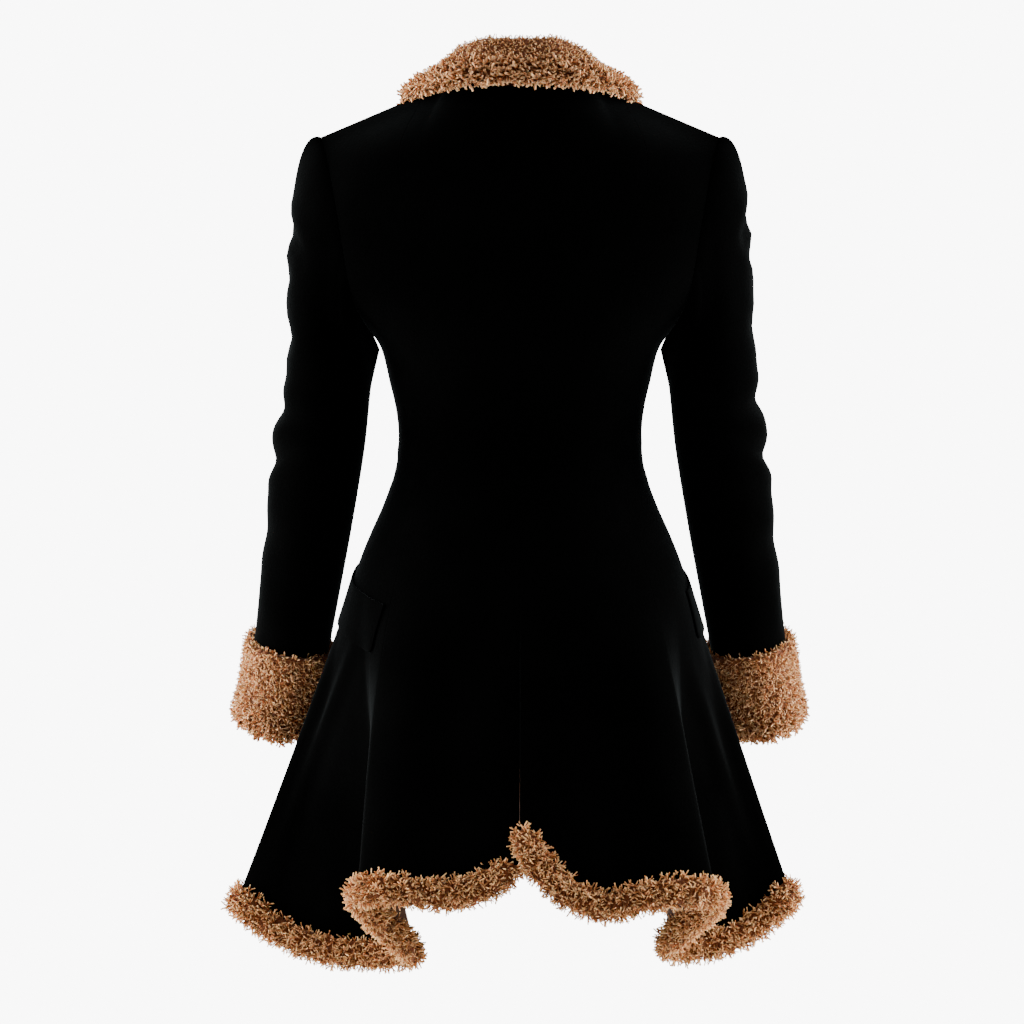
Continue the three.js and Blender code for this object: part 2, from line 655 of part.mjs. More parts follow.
// Fur rolled round the hem between two shares of the half ring, grown by a gap when it is used to cut.
function hemFur(half, shares, grow = 0) {
  const [from, to] = shares.map((share) => columnPast(half, share));
  const inner = gridColumns(half, 0, half.lastColumn).filter((c) => c > from + 0.2 && c < to - 0.2);
  const columns = [from, lerp(from, inner[0], HEM_FUR.endShare * 3), ...inner];
  columns.push(lerp(to, inner.at(-1), HEM_FUR.endShare * 3), to);
  const ends = [half.column(columns[0], [0], false)[0], half.column(to, [0], true)[0]];
  const sections = columns.map((column) => {
    const isFront = column > half.sideColumn;
    const step = 0.08;
    const [centre, above] = half.column(column, [0, 1 / SKIRT_ROWS], isFront);
    const [before] = half.column(Math.max(0, column - step), [0], isFront);
    const [after] = half.column(column + step, [0], isFront);
    const along = after.sub(before).normalize();
    const out = along.clone().cross(above.sub(centre)).normalize();
    const up = out.clone().cross(along).normalize();
    const toEnd = Math.min(...ends.map((end) => end.distanceTo(centre)));
    const round = Math.sqrt(Math.min(1, (toEnd + HEM_FUR.endRound * 0.2) / (HEM_FUR.endRound * 1.2)));
    return circleOf(HEM_FUR.corners).map(([across, rise]) =>
      centre
        .clone()
        .addScaledVector(out, across * (HEM_FUR.thickness * round + grow))
        .addScaledVector(up, rise * (HEM_FUR.height * round + grow)),
    );
  });
  return loftThrough(sections);
}

// A column for a share that may lie past the centre front.
function columnPast(half, share) {
  return share <= 1 ? half.columnOf(share) : 2 * half.lastColumn - half.columnOf(2 - share);
}

function circleOf(corners) {
  return Array.from({ length: corners }, (_, i) => {
    const angle = (2 * Math.PI * (i + 0.5)) / corners;
    return [Math.cos(angle), Math.sin(angle)];
  });
}

// Height of the shoulders under a point, read off the upper panels.
function shoulderHeight(grids, x, y) {
  let height = -Infinity;
  const tryTriangle = (a, b, c) => {
    const area = (b.x - a.x) * (c.y - a.y) - (c.x - a.x) * (b.y - a.y);
    if (Math.abs(area) < 1e-6) return;
    const u = ((b.x - x) * (c.y - y) - (c.x - x) * (b.y - y)) / area;
    const v = ((c.x - x) * (a.y - y) - (a.x - x) * (c.y - y)) / area;
    const w = 1 - u - v;
    if (u >= -0.01 && v >= -0.01 && w >= -0.01) {
      height = Math.max(height, u * a.z + v * b.z + w * c.z);
    }
  };
  for (const { rows } of grids) {
    for (let r = rows.length - 4 * UPPER_STEPS; r < rows.length - 1; r++) {
      for (let c = 0; c < rows[0].length - 1; c++) {
        tryTriangle(rows[r][c], rows[r][c + 1], rows[r + 1][c + 1]);
        tryTriangle(rows[r][c], rows[r + 1][c + 1], rows[r + 1][c]);
      }
    }
  }
  return height;
}

// Stations round the neck from the wearer's left front, over the nape, to the right front.
function collarStations() {
  const last = COLLAR_SECTIONS.at(-1).at;
  return Array.from({ length: 2 * COLLAR_STATIONS + 1 }, (_, i) => {
    const along = (i - COLLAR_STATIONS) / COLLAR_STATIONS;
    return { at: Math.abs(along) * last, sign: along < 0 ? 1 : -1 };
  });
}

// The middle line of the collar's section at a station, from the neck seam over the roll to the edge.
function collarLine({ at, sign }) {
  const read = (key) => readTable(COLLAR_SECTIONS, key, "at", at);
  const seam = necklinePoint(at);
  const step = 0.01;
  const tangent = necklinePoint(Math.min(1, at + step)).sub(necklinePoint(Math.max(0, at - step)));
  const out = vec(-tangent.y, tangent.x, 0).normalize();
  const [rollOut, rollUp, edgeOut, edgeUp] = ["rollOut", "rollUp", "edgeOut", "edgeUp"].map(read);
  const place = (o, u) => {
    const p = seam.clone().addScaledVector(out, o);
    return vec(p.x * sign, p.y, p.z + u);
  };
  const line = lineThrough([
    place(COLLAR_SEAM_OUT, COLLAR_SEAM_UP),
    place(COLLAR_SEAM_OUT - 1, rollUp * 0.6),
    place(rollOut, rollUp),
    place(lerp(rollOut, edgeOut, 0.5), lerp(rollUp, edgeUp, COLLAR_FALL)),
    place(edgeOut, edgeUp),
  ]);
  const side = vec(out.x * sign, out.y, 0);
  return { line, side };
}

// The collar's section on one face of its middle line, kept clear of the shoulders.
function collarSheet(station, face, grids) {
  const { line, side } = collarLine(station);
  const steps = COLLAR_HALF_THICKNESS.length - 1;
  return COLLAR_HALF_THICKNESS.map((half, i) => {
    const position = (4 * i) / steps;
    const step = 0.5;
    const before = line(Math.max(0, position - step));
    const along = line(Math.min(4, position + step)).sub(before).normalize();
    const outwards = vec(0, 0, 1).multiplyScalar(-along.dot(side)).addScaledVector(side, along.z);
    const p = line(position).addScaledVector(outwards.normalize(), -face * half);
    const thickness = face < 0 ? 2 * half : 0;
    const floor = shoulderHeight(grids, p.x, p.y) + COLLAR_CLEARANCE + thickness;
    if (i > steps / 2) p.z = Math.max(p.z, floor);
    return p;
  });
}

function collarPart(grids) {
  const stations = collarStations();
  return wallBetween(...[1, -1].map((face) => stations.map((s) => collarSheet(s, face, grids))));
}

// A flap cut from the body's own surface moved out, with its lower corners rounded off.
function pocketFlap(half, grid, flap) {
  const { height, wall, corner, fromX, toX } = FLAP;
  const { fromY, toY, fromZ, toZ } = flap;
  const outline = [
    [fromY, fromZ],
    [toY, toZ],
    [toY, toZ - height + corner],
    [toY + corner, toZ - height],
    [fromY - corner, fromZ - height],
    [fromY, fromZ - height + corner],
  ];
  const prism = wasm.Manifold.extrude([outline], toX - fromX)
    .rotate([90, 0, 90])
    .translate([fromX, 0, 0]);
  const stencil = half.isLeft ? prism : prism.mirror([1, 0, 0]);
  const laid = wallBetween(movedSheet(grid, SEAM_GAP + wall), movedSheet(grid, SEAM_GAP));
  return mainBody(laid.intersect(stencil));
}

// The point and the direction of the front's surface at a share and a height.
function onBody(half, share, z) {
  const place = (s) => {
    const column = half.columnOf(s);
    let [low, high] = [0, half.top];
    for (let i = 0; i < 40; i++) {
      const level = (low + high) / 2;
      const [p] = half.column(column, [level], true);
      if (p.z < z) low = level;
      else high = level;
    }
    return half.column(column, [low, low + 0.02], true);
  };
  const step = 0.004;
  const [point, above] = place(share);
  const [before] = place(share - step);
  const [after] = place(share + step);
  const normal = after.sub(before).cross(above.sub(point)).normalize();
  if (normal.dot(vec(point.x, point.y, 0)) < 0) normal.negate();
  return { point, normal };
}

// A round button with a raised rim, on the right front.
function button(half, z) {
  const { radius, thickness, dish, rim, corners } = BUTTON;
  const profile = [
    [0, -BUTTON_SUNK],
    [radius - 1, -BUTTON_SUNK],
    [radius, 0],
    [radius, thickness - 1],
    [radius - 1, thickness],
    [radius - rim, thickness],
    [radius - rim - 1, thickness - dish],
    [0, thickness - dish],
  ].map(([x, y]) => new THREE.Vector2(x, y));
  const { point, normal } = onBody(half, BUTTON_SHARE, z);
  const geometry = new THREE.LatheGeometry(profile, corners);
  geometry.applyQuaternion(new THREE.Quaternion().setFromUnitVectors(vec(0, 1, 0), normal));
  geometry.translate(point.x, point.y, point.z);
  return solidOf(geometry);
}

function solidOf(geometry) {
  geometry.deleteAttribute("normal");
  geometry.deleteAttribute("uv");
  const merged = mergeVertices(geometry, 1e-3);
  return new wasm.Manifold(
    new wasm.Mesh({
      numProp: 3,
      vertProperties: merged.attributes.position.array,
      triVerts: new Uint32Array(merged.index.array),
    }),
  );
}

const coat = new THREE.Group();

function add(name, solid, colour, roughness) {
  const { vertProperties, triVerts } = solid.getMesh();
  const geometry = new THREE.BufferGeometry();
  geometry.setAttribute("position", new THREE.BufferAttribute(new Float32Array(vertProperties), 3));
  geometry.setIndex(new THREE.BufferAttribute(new Uint32Array(triVerts), 1));
  const material = new THREE.MeshStandardMaterial({ color: colour, roughness, metalness: 0 });
  const mesh = new THREE.Mesh(geometry, material);
  mesh.name = name;
  coat.add(mesh);
}

const halves = {
  left: new BodyHalf(HEM_LEFT, true),
  right: new BodyHalf(HEM_RIGHT, false),
};
const upperSteps = (halves.left.top - halves.left.underarm) * UPPER_STEPS;
const sleeveColumns = Array.from({ length: 2 * upperSteps + 1 }, (_, i) => {
  return SLEEVE_SEAMS.backAt + i / (2 * upperSteps);
});
const build = {};
for (const [side, half] of Object.entries(halves)) {
  const sleeve = new Sleeve(armholeOf(half, UPPER_STEPS), half.isLeft ? 1 : -1);
  build[side] = {
    half,
    sleeve,
    back: bodyGrid(half, false),
    front: bodyGrid(half, true),
    arm: sleeve.grid(sleeveColumns),
  };
  shareNormals([build[side].back, build[side].front, build[side].arm]);
}

const rightTrimShares = [0, 1 + BUTTON_STAND];
const rightFurCut = hemFur(halves.right, rightTrimShares, SEAM_GAP);
const leftFurCut = hemFur(halves.left, LEFT_TRIM_SHARE, SEAM_GAP);
const furCuts = [rightFurCut, leftFurCut];
const bodyGrids = Object.values(build).flatMap(({ back, front }) => [back, front]);

const bodyCuts = bodyGrids.map((grid) => clearanceOf(grid));

for (const [side, { half, sleeve, back, front, arm }] of Object.entries(build)) {
  const rows = [0, back.rows.length - 1];
  const backFold = half.hem.findIndex((row) => row.name === "back fold");
  const foldColumn = back.columns.indexOf(backFold);
  const cutPanel = (grid, columns) => cutBy(panel(grid, columns, rows), furCuts);
  add(`back_${side}`, cutPanel(back, [0, foldColumn]), COLOURS.velvet, 0.9);
  add(`side_${side}`, cutPanel(back, [foldColumn, back.columns.length - 1]), COLOURS.velvet, 0.9);
  add(`front_${side}`, cutPanel(front, [0, front.columns.length - 1]), COLOURS.velvet, 0.9);

  const liningEnd = front.columns.findIndex((c) => half.hem[c]?.name === "near front") + 1;
  const skirt = joinedGrid(back, front, SKIRT_ROWS + 1, liningEnd);
  const liningColumns = [0, skirt.rows[0].length - 1];
  const lining = panel(skirt, liningColumns, [0, SKIRT_ROWS], LINING_WALL, WALL + SEAM_GAP);
  add(`skirt_lining_${side}`, cutBy(lining, furCuts), COLOURS.lining, 0.5);

  const { frontColumn } = SLEEVE_SEAMS;
  const armRows = [0, arm.rows.length - 1];
  const underSleeve = panel(arm, [0, frontColumn], armRows);
  const topSleeve = panel(arm, [frontColumn, 2 * upperSteps], armRows);
  const topCuts = [...bodyCuts, clearanceOf(arm, frontColumn)];
  add(`sleeve_under_${side}`, cutBy(underSleeve, bodyCuts), COLOURS.velvet, 0.9);
  add(`sleeve_top_${side}`, cutBy(topSleeve, topCuts), COLOURS.velvet, 0.9);
  add(`cuff_${side}`, sleeve.cuff(sleeveColumns), COLOURS.fur, 1);
}

add("hem_fur_right", hemFur(halves.right, rightTrimShares), COLOURS.fur, 1);
add("hem_fur_left", cutBy(hemFur(halves.left, LEFT_TRIM_SHARE), [rightFurCut]), COLOURS.fur, 1);
add("collar", cutBy(collarPart(bodyGrids), bodyCuts), COLOURS.fur, 1);

for (const flap of FLAPS) {
  const { half, back, front } = build[flap.side];
  const grid = joinedGrid(back, front, SKIRT_ROWS + FLAP_ROWS_ABOVE, front.columns.length);
  add(`pocket_flap_${flap.side}`, pocketFlap(half, grid, flap), COLOURS.velvet, 0.9);
}
BUTTON_HEIGHTS.forEach((z, i) => {
  add(`button_${i + 1}`, cutBy(button(halves.right, z), bodyCuts), COLOURS.horn, 0.4);
});

export default coat;
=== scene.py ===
"""A fitted, flared velvet coat with curly fur at its collar, cuffs and hem, seen from behind."""
import math

import bpy
import numpy as np
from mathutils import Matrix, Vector


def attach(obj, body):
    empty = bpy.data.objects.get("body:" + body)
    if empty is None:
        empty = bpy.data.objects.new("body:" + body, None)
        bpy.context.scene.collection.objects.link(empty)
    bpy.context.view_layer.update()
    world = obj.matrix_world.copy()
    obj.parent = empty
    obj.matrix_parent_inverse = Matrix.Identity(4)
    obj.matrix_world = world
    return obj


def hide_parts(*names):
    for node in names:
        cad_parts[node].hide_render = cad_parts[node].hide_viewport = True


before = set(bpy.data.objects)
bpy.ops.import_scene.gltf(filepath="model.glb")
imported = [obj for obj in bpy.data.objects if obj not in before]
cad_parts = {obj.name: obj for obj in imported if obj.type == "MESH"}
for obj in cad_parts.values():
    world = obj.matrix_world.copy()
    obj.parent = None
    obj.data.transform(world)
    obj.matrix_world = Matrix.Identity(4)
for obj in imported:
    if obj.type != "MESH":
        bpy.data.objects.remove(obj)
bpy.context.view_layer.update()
MM = 0.001


def placed(name, data):
    """A new object in the scene, at the origin."""
    made = bpy.data.objects.new(name, data)
    bpy.context.scene.collection.objects.link(made)
    return made


# Camera, at the photograph's angle: straight behind the coat, level with its waist
SENSOR_WIDTH, LENS = 36, 137.9
camera = placed("camera", bpy.data.cameras.new("camera"))
camera.data.sensor_width, camera.data.lens = SENSOR_WIDTH, LENS
camera.location = (0.0082, 4.0, -0.4284)
camera.rotation_euler = (math.pi / 2, 0, math.pi)
bpy.context.scene.camera = camera

# Soft lights: where each stands, what it points at, its size and its power
LIGHTS = {
    "light_side_left": ((2.2, -0.2, -0.1), (0, 0, -0.5), 1.6, 250),
    "light_side_right": ((-2.2, -0.2, -0.1), (0, 0, -0.5), 1.6, 225),
    "light_top": ((0.2, 0.6, 2.2), (0, 0, -0.2), 1.8, 40),
    "light_front": ((0.6, -2.6, 0.6), (0, 0, -0.4), 1.6, 60),
}
for name, (place, target, size, power) in LIGHTS.items():
    light = placed(name, bpy.data.lights.new(name, "AREA"))
    light.data.shape, light.data.size, light.data.energy = "SQUARE", size, power
    light.location = place
    light.rotation_euler = (Vector(target) - Vector(place)).to_track_quat("-Z", "Y").to_euler()

# The surround: bright white where the camera sees it, and a weak light on everything else
SEEN_STRENGTH, AMBIENT_STRENGTH = 9.0, 0.2
world = bpy.data.worlds.new("white surround")
bpy.context.scene.world = world
world.use_nodes = True
nodes, links = world.node_tree.nodes, world.node_tree.links
nodes.clear()
by_ray, mixed = nodes.new("ShaderNodeLightPath"), nodes.new("ShaderNodeMixShader")
links.new(by_ray.outputs["Is Camera Ray"], mixed.inputs[0])
for place, strength in ((1, AMBIENT_STRENGTH), (2, SEEN_STRENGTH)):
    glow = nodes.new("ShaderNodeBackground")
    glow.inputs["Color"].default_value = (1, 1, 1, 1)
    glow.inputs["Strength"].default_value = strength
    links.new(glow.outputs[0], mixed.inputs[place])
links.new(mixed.outputs[0], nodes.new("ShaderNodeOutputWorld").inputs["Surface"])


# ---- trees of nodes
class Nodes:
    """A tree of nodes, with short calls that add them and join them."""

    def __init__(self, tree):
        self.tree = tree

    def sockets(self, way, kind, *names):
        for name in names:
            self.tree.interface.new_socket(name, in_out=way, socket_type=kind)

    def set(self, socket, value):
        """Joins a socket to another one, or sets its own value."""
        if isinstance(value, bpy.types.NodeSocket):
            self.tree.links.new(value, socket)
        else:
            socket.default_value = value

    def add(self, kind, inputs=None, **settings):
        node = self.tree.nodes.new(kind)
        for key, value in settings.items():
            setattr(node, key, value)
        for key, value in (inputs or {}).items():
            self.set(node.inputs[key], value)
        return node

    def math(self, operation, a, b):
        return self.add("ShaderNodeMath", {0: a, 1: b}, operation=operation).outputs[0]

    def noise(self, scale, detail, place=None, output="Fac"):
        place = place or self.add("ShaderNodeTexCoord").outputs["Object"]
        inputs = {"Vector": place, "Scale": scale, "Detail": detail}
        return self.add("ShaderNodeTexNoise", inputs).outputs[output]


class Material(Nodes):
    """A Principled material, with its own numbers and colours set on its sockets."""

    def __init__(self, name, settings):
        self.made = bpy.data.materials.new(name)
        self.made.use_nodes = True
        super().__init__(self.made.node_tree)
        self.own = self.tree.nodes["Principled BSDF"].inputs
        for key, value in settings.items():
            self.own[key].default_value = value

    def ramp(self, value, low, high, ends=(0.3, 0.7)):
        """Shades a value from low to high, which are colours, or numbers that stand for greys."""
        node = self.add("ShaderNodeValToRGB", {"Fac": value})
        for element, place, shade in zip(node.color_ramp.elements, ends, (low, high)):
            element.position = place
            element.color = (*shade, 1) if isinstance(shade, tuple) else (shade, shade, shade, 1)
        return node.outputs["Color"]

    def bump(self, height, distance, strength, normal=None):
        inputs = {"Height": height, "Distance": distance, "Strength": strength}
        if normal is not None:
            inputs["Normal"] = normal
        return self.add("ShaderNodeBump", inputs).outputs["Normal"]

    def finished(self, colour, roughness=None, normal=None):
        for key, value in (("Base Color", colour), ("Roughness", roughness), ("Normal", normal)):
            if value is not None:
                self.set(self.own[key], value)
        return self.made


# ---- materials
def velvet(name, sheen, dark=0.0003, light=0.001):
    m = Material(name, {
        "Sheen Weight": sheen, "Sheen Roughness": 0.3, "Sheen Tint": (0.78, 0.88, 0.90, 1),
        "Specular IOR Level": 0.0,
    })
    patches, nap = m.noise(9.0, 3.0), m.noise(420.0, 2.0)
    tone = m.math("ADD", m.math("MULTIPLY", patches, 0.7), m.math("MULTIPLY", nap, 0.3))
    return m.finished(
        m.ramp(tone, (dark, dark, dark * 0.9), (light, light * 1.02, light)),
        m.ramp(nap, 0.72, 0.95),
        m.bump(patches, 0.006, 0.25, m.bump(nap, 0.0006, 0.5)),
    )


def satin():
    m = Material("dark brown satin lining", {"Sheen Weight": 0.0, "Specular IOR Level": 0.22})
    place = m.add("ShaderNodeTexCoord").outputs["Object"]
    stretched = m.add("ShaderNodeMapping", {"Vector": place, "Scale": (60, 60, 1400)}).outputs[0]
    weave, soft = m.noise(1.0, 2.0, stretched), m.noise(14.0, 2.0)
    return m.finished(
        m.ramp(soft, (0.038, 0.013, 0.005), (0.075, 0.027, 0.011)),
        m.ramp(weave, 0.42, 0.58),
        m.bump(weave, 0.0003, 0.4, m.bump(soft, 0.006, 0.5)),
    )


def horn():
    m = Material("dark horn", {"Specular IOR Level": 0.3, "Coat Weight": 0.08, "Coat Roughness": 0.25})
    streaks = m.noise(90.0, 4.0)
    return m.finished(
        m.ramp(streaks, (0.008, 0.006, 0.005), (0.035, 0.024, 0.016), (0.35, 0.65)),
        m.ramp(streaks, 0.28, 0.42),
        m.bump(streaks, 0.0002, 0.3),
    )


def fur_colour_and_shading():
    """Shared by every fur: dark at the root and pale at the tip, a painted shade down among the locks and a
    painted highlight on their tips, each lock a little lighter or darker at random.
    """
    n = Nodes(bpy.data.node_groups.new("fur colour and painted shading", "ShaderNodeTree"))
    n.sockets("INPUT", "NodeSocketColor", "Dark", "Middle", "Pale")
    n.sockets("INPUT", "NodeSocketFloat", "Patch Scale")
    n.sockets("OUTPUT", "NodeSocketColor", "Color")
    n.sockets("OUTPUT", "NodeSocketFloat", "Height")
    given, result = n.add("NodeGroupInput").outputs, n.add("NodeGroupOutput").inputs
    tip, shade = (n.add("ShaderNodeAttribute", attribute_name=name).outputs["Fac"] for name in ("tip", "shade"))
    patch, fibre = n.noise(given["Patch Scale"], 2.0), n.noise(1500.0, 2.0)
    place = tip
    for part, share in ((shade, 0.45), (patch, 0.9), (fibre, 0.35)):
        place = n.math("ADD", place, n.math("MULTIPLY", n.math("SUBTRACT", part, 0.5), share))
    # From the dark root through the middle to the pale tip: painted shade at the root, painted highlight at the
    # tip
    colour = given["Dark"]
    for lighter, low, high in (("Middle", 0.0, 0.5), ("Pale", 0.45, 1.05)):
        limits = {"Value": place, "From Min": low, "From Max": high}
        share = n.add("ShaderNodeMapRange", limits).outputs["Result"]
        colour = n.add("ShaderNodeMix", {0: share, 6: colour, 7: given[lighter]}, data_type="RGBA").outputs[2]
    n.set(result["Color"], colour)
    n.set(result["Height"], fibre)
    return n.tree


FUR_COLOUR_AND_SHADING = fur_colour_and_shading()


def fur(name, dark, middle, pale, patch_scale):
    m = Material(name, {
        "Subsurface Weight": 0.35, "Subsurface Scale": 0.003, "Subsurface Radius": (1.0, 0.55, 0.3),
        "Roughness": 0.75, "Sheen Weight": 0.12, "Sheen Roughness": 0.5, "Sheen Tint": (1, 0.86, 0.7, 1),
        "Specular IOR Level": 0.2,
    })
    shades = {"Dark": (*dark, 1), "Middle": (*middle, 1), "Pale": (*pale, 1), "Patch Scale": patch_scale}
    group = m.add("ShaderNodeGroup", shades, node_tree=FUR_COLOUR_AND_SHADING).outputs
    return m.finished(group["Color"], normal=m.bump(group["Height"], 0.0006, 0.6))


def floor_paint():
    m = Material("pale floor", {"Specular IOR Level": 0.2})
    return m.finished(m.ramp(m.noise(3.0, 2.0), 0.80, 0.84), m.ramp(m.noise(60.0, 2.0), 0.6, 0.8))


VELVET = velvet("black velvet", sheen=0.052)
VELVET_EDGE = velvet("black velvet of the seam edges", sheen=0.03)
SATIN = satin()
HORN = horn()
# Each fur's colours: a dark root, which is painted shade among the locks, a middle tan, and a pale tip, which is
# a painted highlight
HEM_FUR = fur("long tan fur of the hem", (0.14, 0.034, 0.006), (0.34, 0.111, 0.025), (0.74, 0.41, 0.18), 150.0)
TRIM_FUR = fur("short tan fur of collar and cuffs",
               (0.13, 0.032, 0.006), (0.33, 0.109, 0.026), (0.72, 0.41, 0.20), 190.0)

FLOOR_Z, FLOOR_HALF = -1.3, 2.0
floor = placed("floor", bpy.data.meshes.new("floor"))
floor.data.from_pydata(
    [(x * FLOOR_HALF, y * FLOOR_HALF, FLOOR_Z) for x, y in ((-1, -1), (1, -1), (1, 1), (-1, 1))],
    [], [(0, 1, 2, 3)])
floor.data.materials.append(floor_paint())

# The coat's sizes, in millimetres, as in the solids' source
WALL = 2.0
SEAM_GAP = 0.3
NECK_HALF_WIDTH, NECK_MID_Y, NAPE_REACH = 75, 5, 53
THROAT_REACH, THROAT_Z, THROAT_ROUNDNESS = 110, -105, 1.5
# Where the neckline and the shoulder seam meet, and where the shoulder seam ends
NECK_POINT = np.array([75.0, 5, 8])
NECK_POINT_AT = 0.42
SHOULDER_POINT = np.array([203.0, 0, -46])
RING_SQUARENESS = 0.9
# Shares of a half ring, from the centre back at 0 over the side seam to the centre front at 1
SIDE = 0.5
BACK_NECK_SHARE, FRONT_NECK_SHARE = 0.2, 0.8

# Rings of the body: z, half width, depth behind, depth in front
BODY_RINGS = [
    (-518, 176, 130, 118),
    (-470, 161, 116, 113),
    (-420, 139, 100, 108),
    (-385, 127, 90, 104),
    (-350, 124, 88, 104),
    (-320, 127, 94, 113),
    (-290, 134, 101, 123),
    (-262, 143, 106, 128),
]
# Rows above the underarm: y and z at the middle, x, y and z at the armhole, and how far the row bends
BACK_ROWS = [
    (107, -205, 168, 55, -215, 30),
    (100, -130, 184, 52, -130, 26),
    (84, -58, 194, 32, -78, 22),
]
FRONT_ROWS = [
    (-127, -215, 164, -52, -215, -34),
    (-120, -172, 178, -46, -130, -28),
    (-112, -132, 190, -28, -78, -22),
]
# The hem's line from the centre back to the centre front: x, y, z, and the share of the hip's ring above it
HEM_LEFT = [
    (0, 190, -772, 0), (14, 191, -779, 0.018), (38, 194, -792, 0.05), (64, 197, -799, 0.1),
    (118, 195, -795, 0.19), (144, 188, -795, 0.225), (159, 172, -801, 0.25), (152, 149, -814, 0.27),
    (134, 121, -837, 0.295), (115, 99, -857, 0.315), (108, 80, -867, 0.33), (125, 64, -871, 0.35),
    (156, 53, -873, 0.38), (198, 46, -868, 0.42), (242, 36, -852, 0.465), (286, 22, -820, 0.5),
    (266, -12, -832, 0.535), (231, -56, -841, 0.58), (195, -104, -845, 0.64), (160, -146, -838, 0.72),
    (110, -171, -822, 0.82), (52, -181, -806, 0.91), (0, -183, -800, 1),
]
HEM_RIGHT = [
    (0, 190, -738, 0), (9, 191, -755, 0.012), (21, 192, -773, 0.027), (39, 194, -792, 0.05),
    (80, 199, -810, 0.12), (130, 197, -799, 0.195), (174, 187, -797, 0.243), (191, 170, -803, 0.265),
    (186, 149, -815, 0.28), (169, 121, -833, 0.302), (154, 99, -849, 0.32), (147, 80, -858, 0.335),
    (159, 64, -864, 0.355), (186, 53, -864, 0.385), (217, 46, -856, 0.42), (241, 36, -842, 0.462),
    (274, 22, -814, 0.5), (260, -12, -832, 0.535), (228, -56, -841, 0.58), (193, -104, -845, 0.64),
    (160, -146, -838, 0.72), (110, -171, -822, 0.82), (52, -181, -806, 0.91), (0, -183, -800, 1),
]
# The deep fold at each side of the back, which is also the seam between back and side
BACK_FOLD_SHARE = {"left": 0.25, "right": 0.265}
# The skirt's cone, read at the hem: half width, depth behind and in front, and how far its middle lies back
FLARE = (270, 172, 196, 18)
FOLD_EASE = 1.35
# How far each front goes past the centre, and how far the left one is set in under the right one
BUTTON_STAND = 0.035
UNDERLAP_FROM, UNDERLAP_DEPTH, UNDERLAP_RAMP = 0.955, 3.2, 0.02

HEM_FUR_THICKNESS, HEM_FUR_HEIGHT, HEM_FUR_END = 13, 18, 16
# Where the hem's fur starts and ends, past 1 over the button stand
TRIM_SHARES = {"left": (0.006, 0.955), "right": (0.0, 1.035)}

# Sleeve rings: x, y, z of the axis, half width across and front to back
ARM_RINGS = [
    (197, 2, -300, 45, 54),
    (204, 4, -355, 46.5, 52),
    (215, -2, -437, 44, 49),
    (225, -24, -500, 41.5, 46),
    (235, -52, -560, 39, 43),
    (245, -77, -610, 38, 41),
    (251, -100, -658, 38, 41),
]
# How the sleeve's head leaves the armhole and runs into the arm, at the shoulder and at the underarm
HEAD_START = (np.array([115.0, 0, 38]), np.array([8.0, 0, -38]))
HEAD_END = (np.array([20.0, 0, -260]), np.array([5.0, 0, -38]))
# Shares round the arm at which the under sleeve starts and ends
SLEEVE_SEAMS = (5 / 16, 11 / 16)
CUFF_TOP_RING = 4
CUFF_OVERLAP = 12
# A cuff's section: how far down the arm from its top edge, and how far out from the sleeve
CUFF_SECTION = [
    (1, 0.5), (0, 5), (5, 9), (28, 8.5), (58, 8), (74, 12),
    (87, 12), (95, 7), (96, 0), (89, -5), (12.4, -5), (12.4, 0.5),
]

# Collar: place along the half neckline, then the roll and the outer edge, out from and above the neck seam
COLLAR_SECTIONS = [
    (0, 4, 45, 31, 5),
    (0.13, 2, 44, 33, 1),
    (0.25, -3, 34, 37, -5),
    (0.33, -6, 23, 38, -9),
    (0.42, -2, 16, 41, -12),
    (0.6, 2, 15, 46, -23),
    (0.8, 6, 17, 40, -36),
    (0.95, 6, 13, 24, -44),
]
# From the neck seam to the outer edge
COLLAR_HALF_THICKNESS = [2.5, 2.5, 2.5, 3, 3.5, 4, 4, 2.5]
COLLAR_SEAM = (-4, 2)
COLLAR_FALL = 0.45


# ---- lines and rings
def through(points, at):
    """Points of the centripetal line through the rows of points, read at positions counted in rows."""
    points = np.asarray(points, float)
    last_row = points.shape[-2] - 1
    at = np.clip(np.atleast_1d(at), 0, last_row)
    before = 2 * points[..., :1, :] - points[..., 1:2, :]
    after = 2 * points[..., -1:, :] - points[..., -2:-1, :]
    p = np.concatenate([before, points, after], -2)
    i = np.minimum(np.floor(at).astype(int), last_row - 1)
    w = (at - i)[:, None]
    p0, p1, p2, p3 = (p[..., i + k, :] for k in range(4))
    apart = [np.linalg.norm(b - a, axis=-1, keepdims=True) for a, b in ((p0, p1), (p1, p2), (p2, p3))]
    d0, d1, d2 = (np.maximum(distance, 1e-6) ** 0.5 for distance in apart)
    t1 = ((p1 - p0) / d0 - (p2 - p0) / (d0 + d1) + (p2 - p1) / d1) * d1
    t2 = ((p2 - p1) / d1 - (p3 - p1) / (d1 + d2) + (p3 - p2) / d2) * d1
    return p1 + t1 * w + (3 * (p2 - p1) - 2 * t1 - t2) * w**2 + (2 * (p1 - p2) + t1 + t2) * w**3


def unit(vectors):
    return vectors / np.linalg.norm(vectors, axis=-1, keepdims=True)


def signed_power(value, power):
    return np.sign(value) * np.abs(value) ** power


def smoothstep(x, low, high):
    t = np.clip((x - low) / (high - low), 0, 1)
    return t * t * (3 - 2 * t)


def ring_point(ring, share, z=None):
    """A point on a ring round the body; share runs from the centre back to the centre front."""
    share = np.asarray(share, float)
    angle = np.pi * share
    depth = np.where(share < SIDE, ring[2], ring[3])
    height = np.full_like(share, ring[0]) if z is None else z
    across = ring[1] * signed_power(np.sin(angle), RING_SQUARENESS)
    return np.stack([across, depth * signed_power(np.cos(angle), RING_SQUARENESS), height], -1)


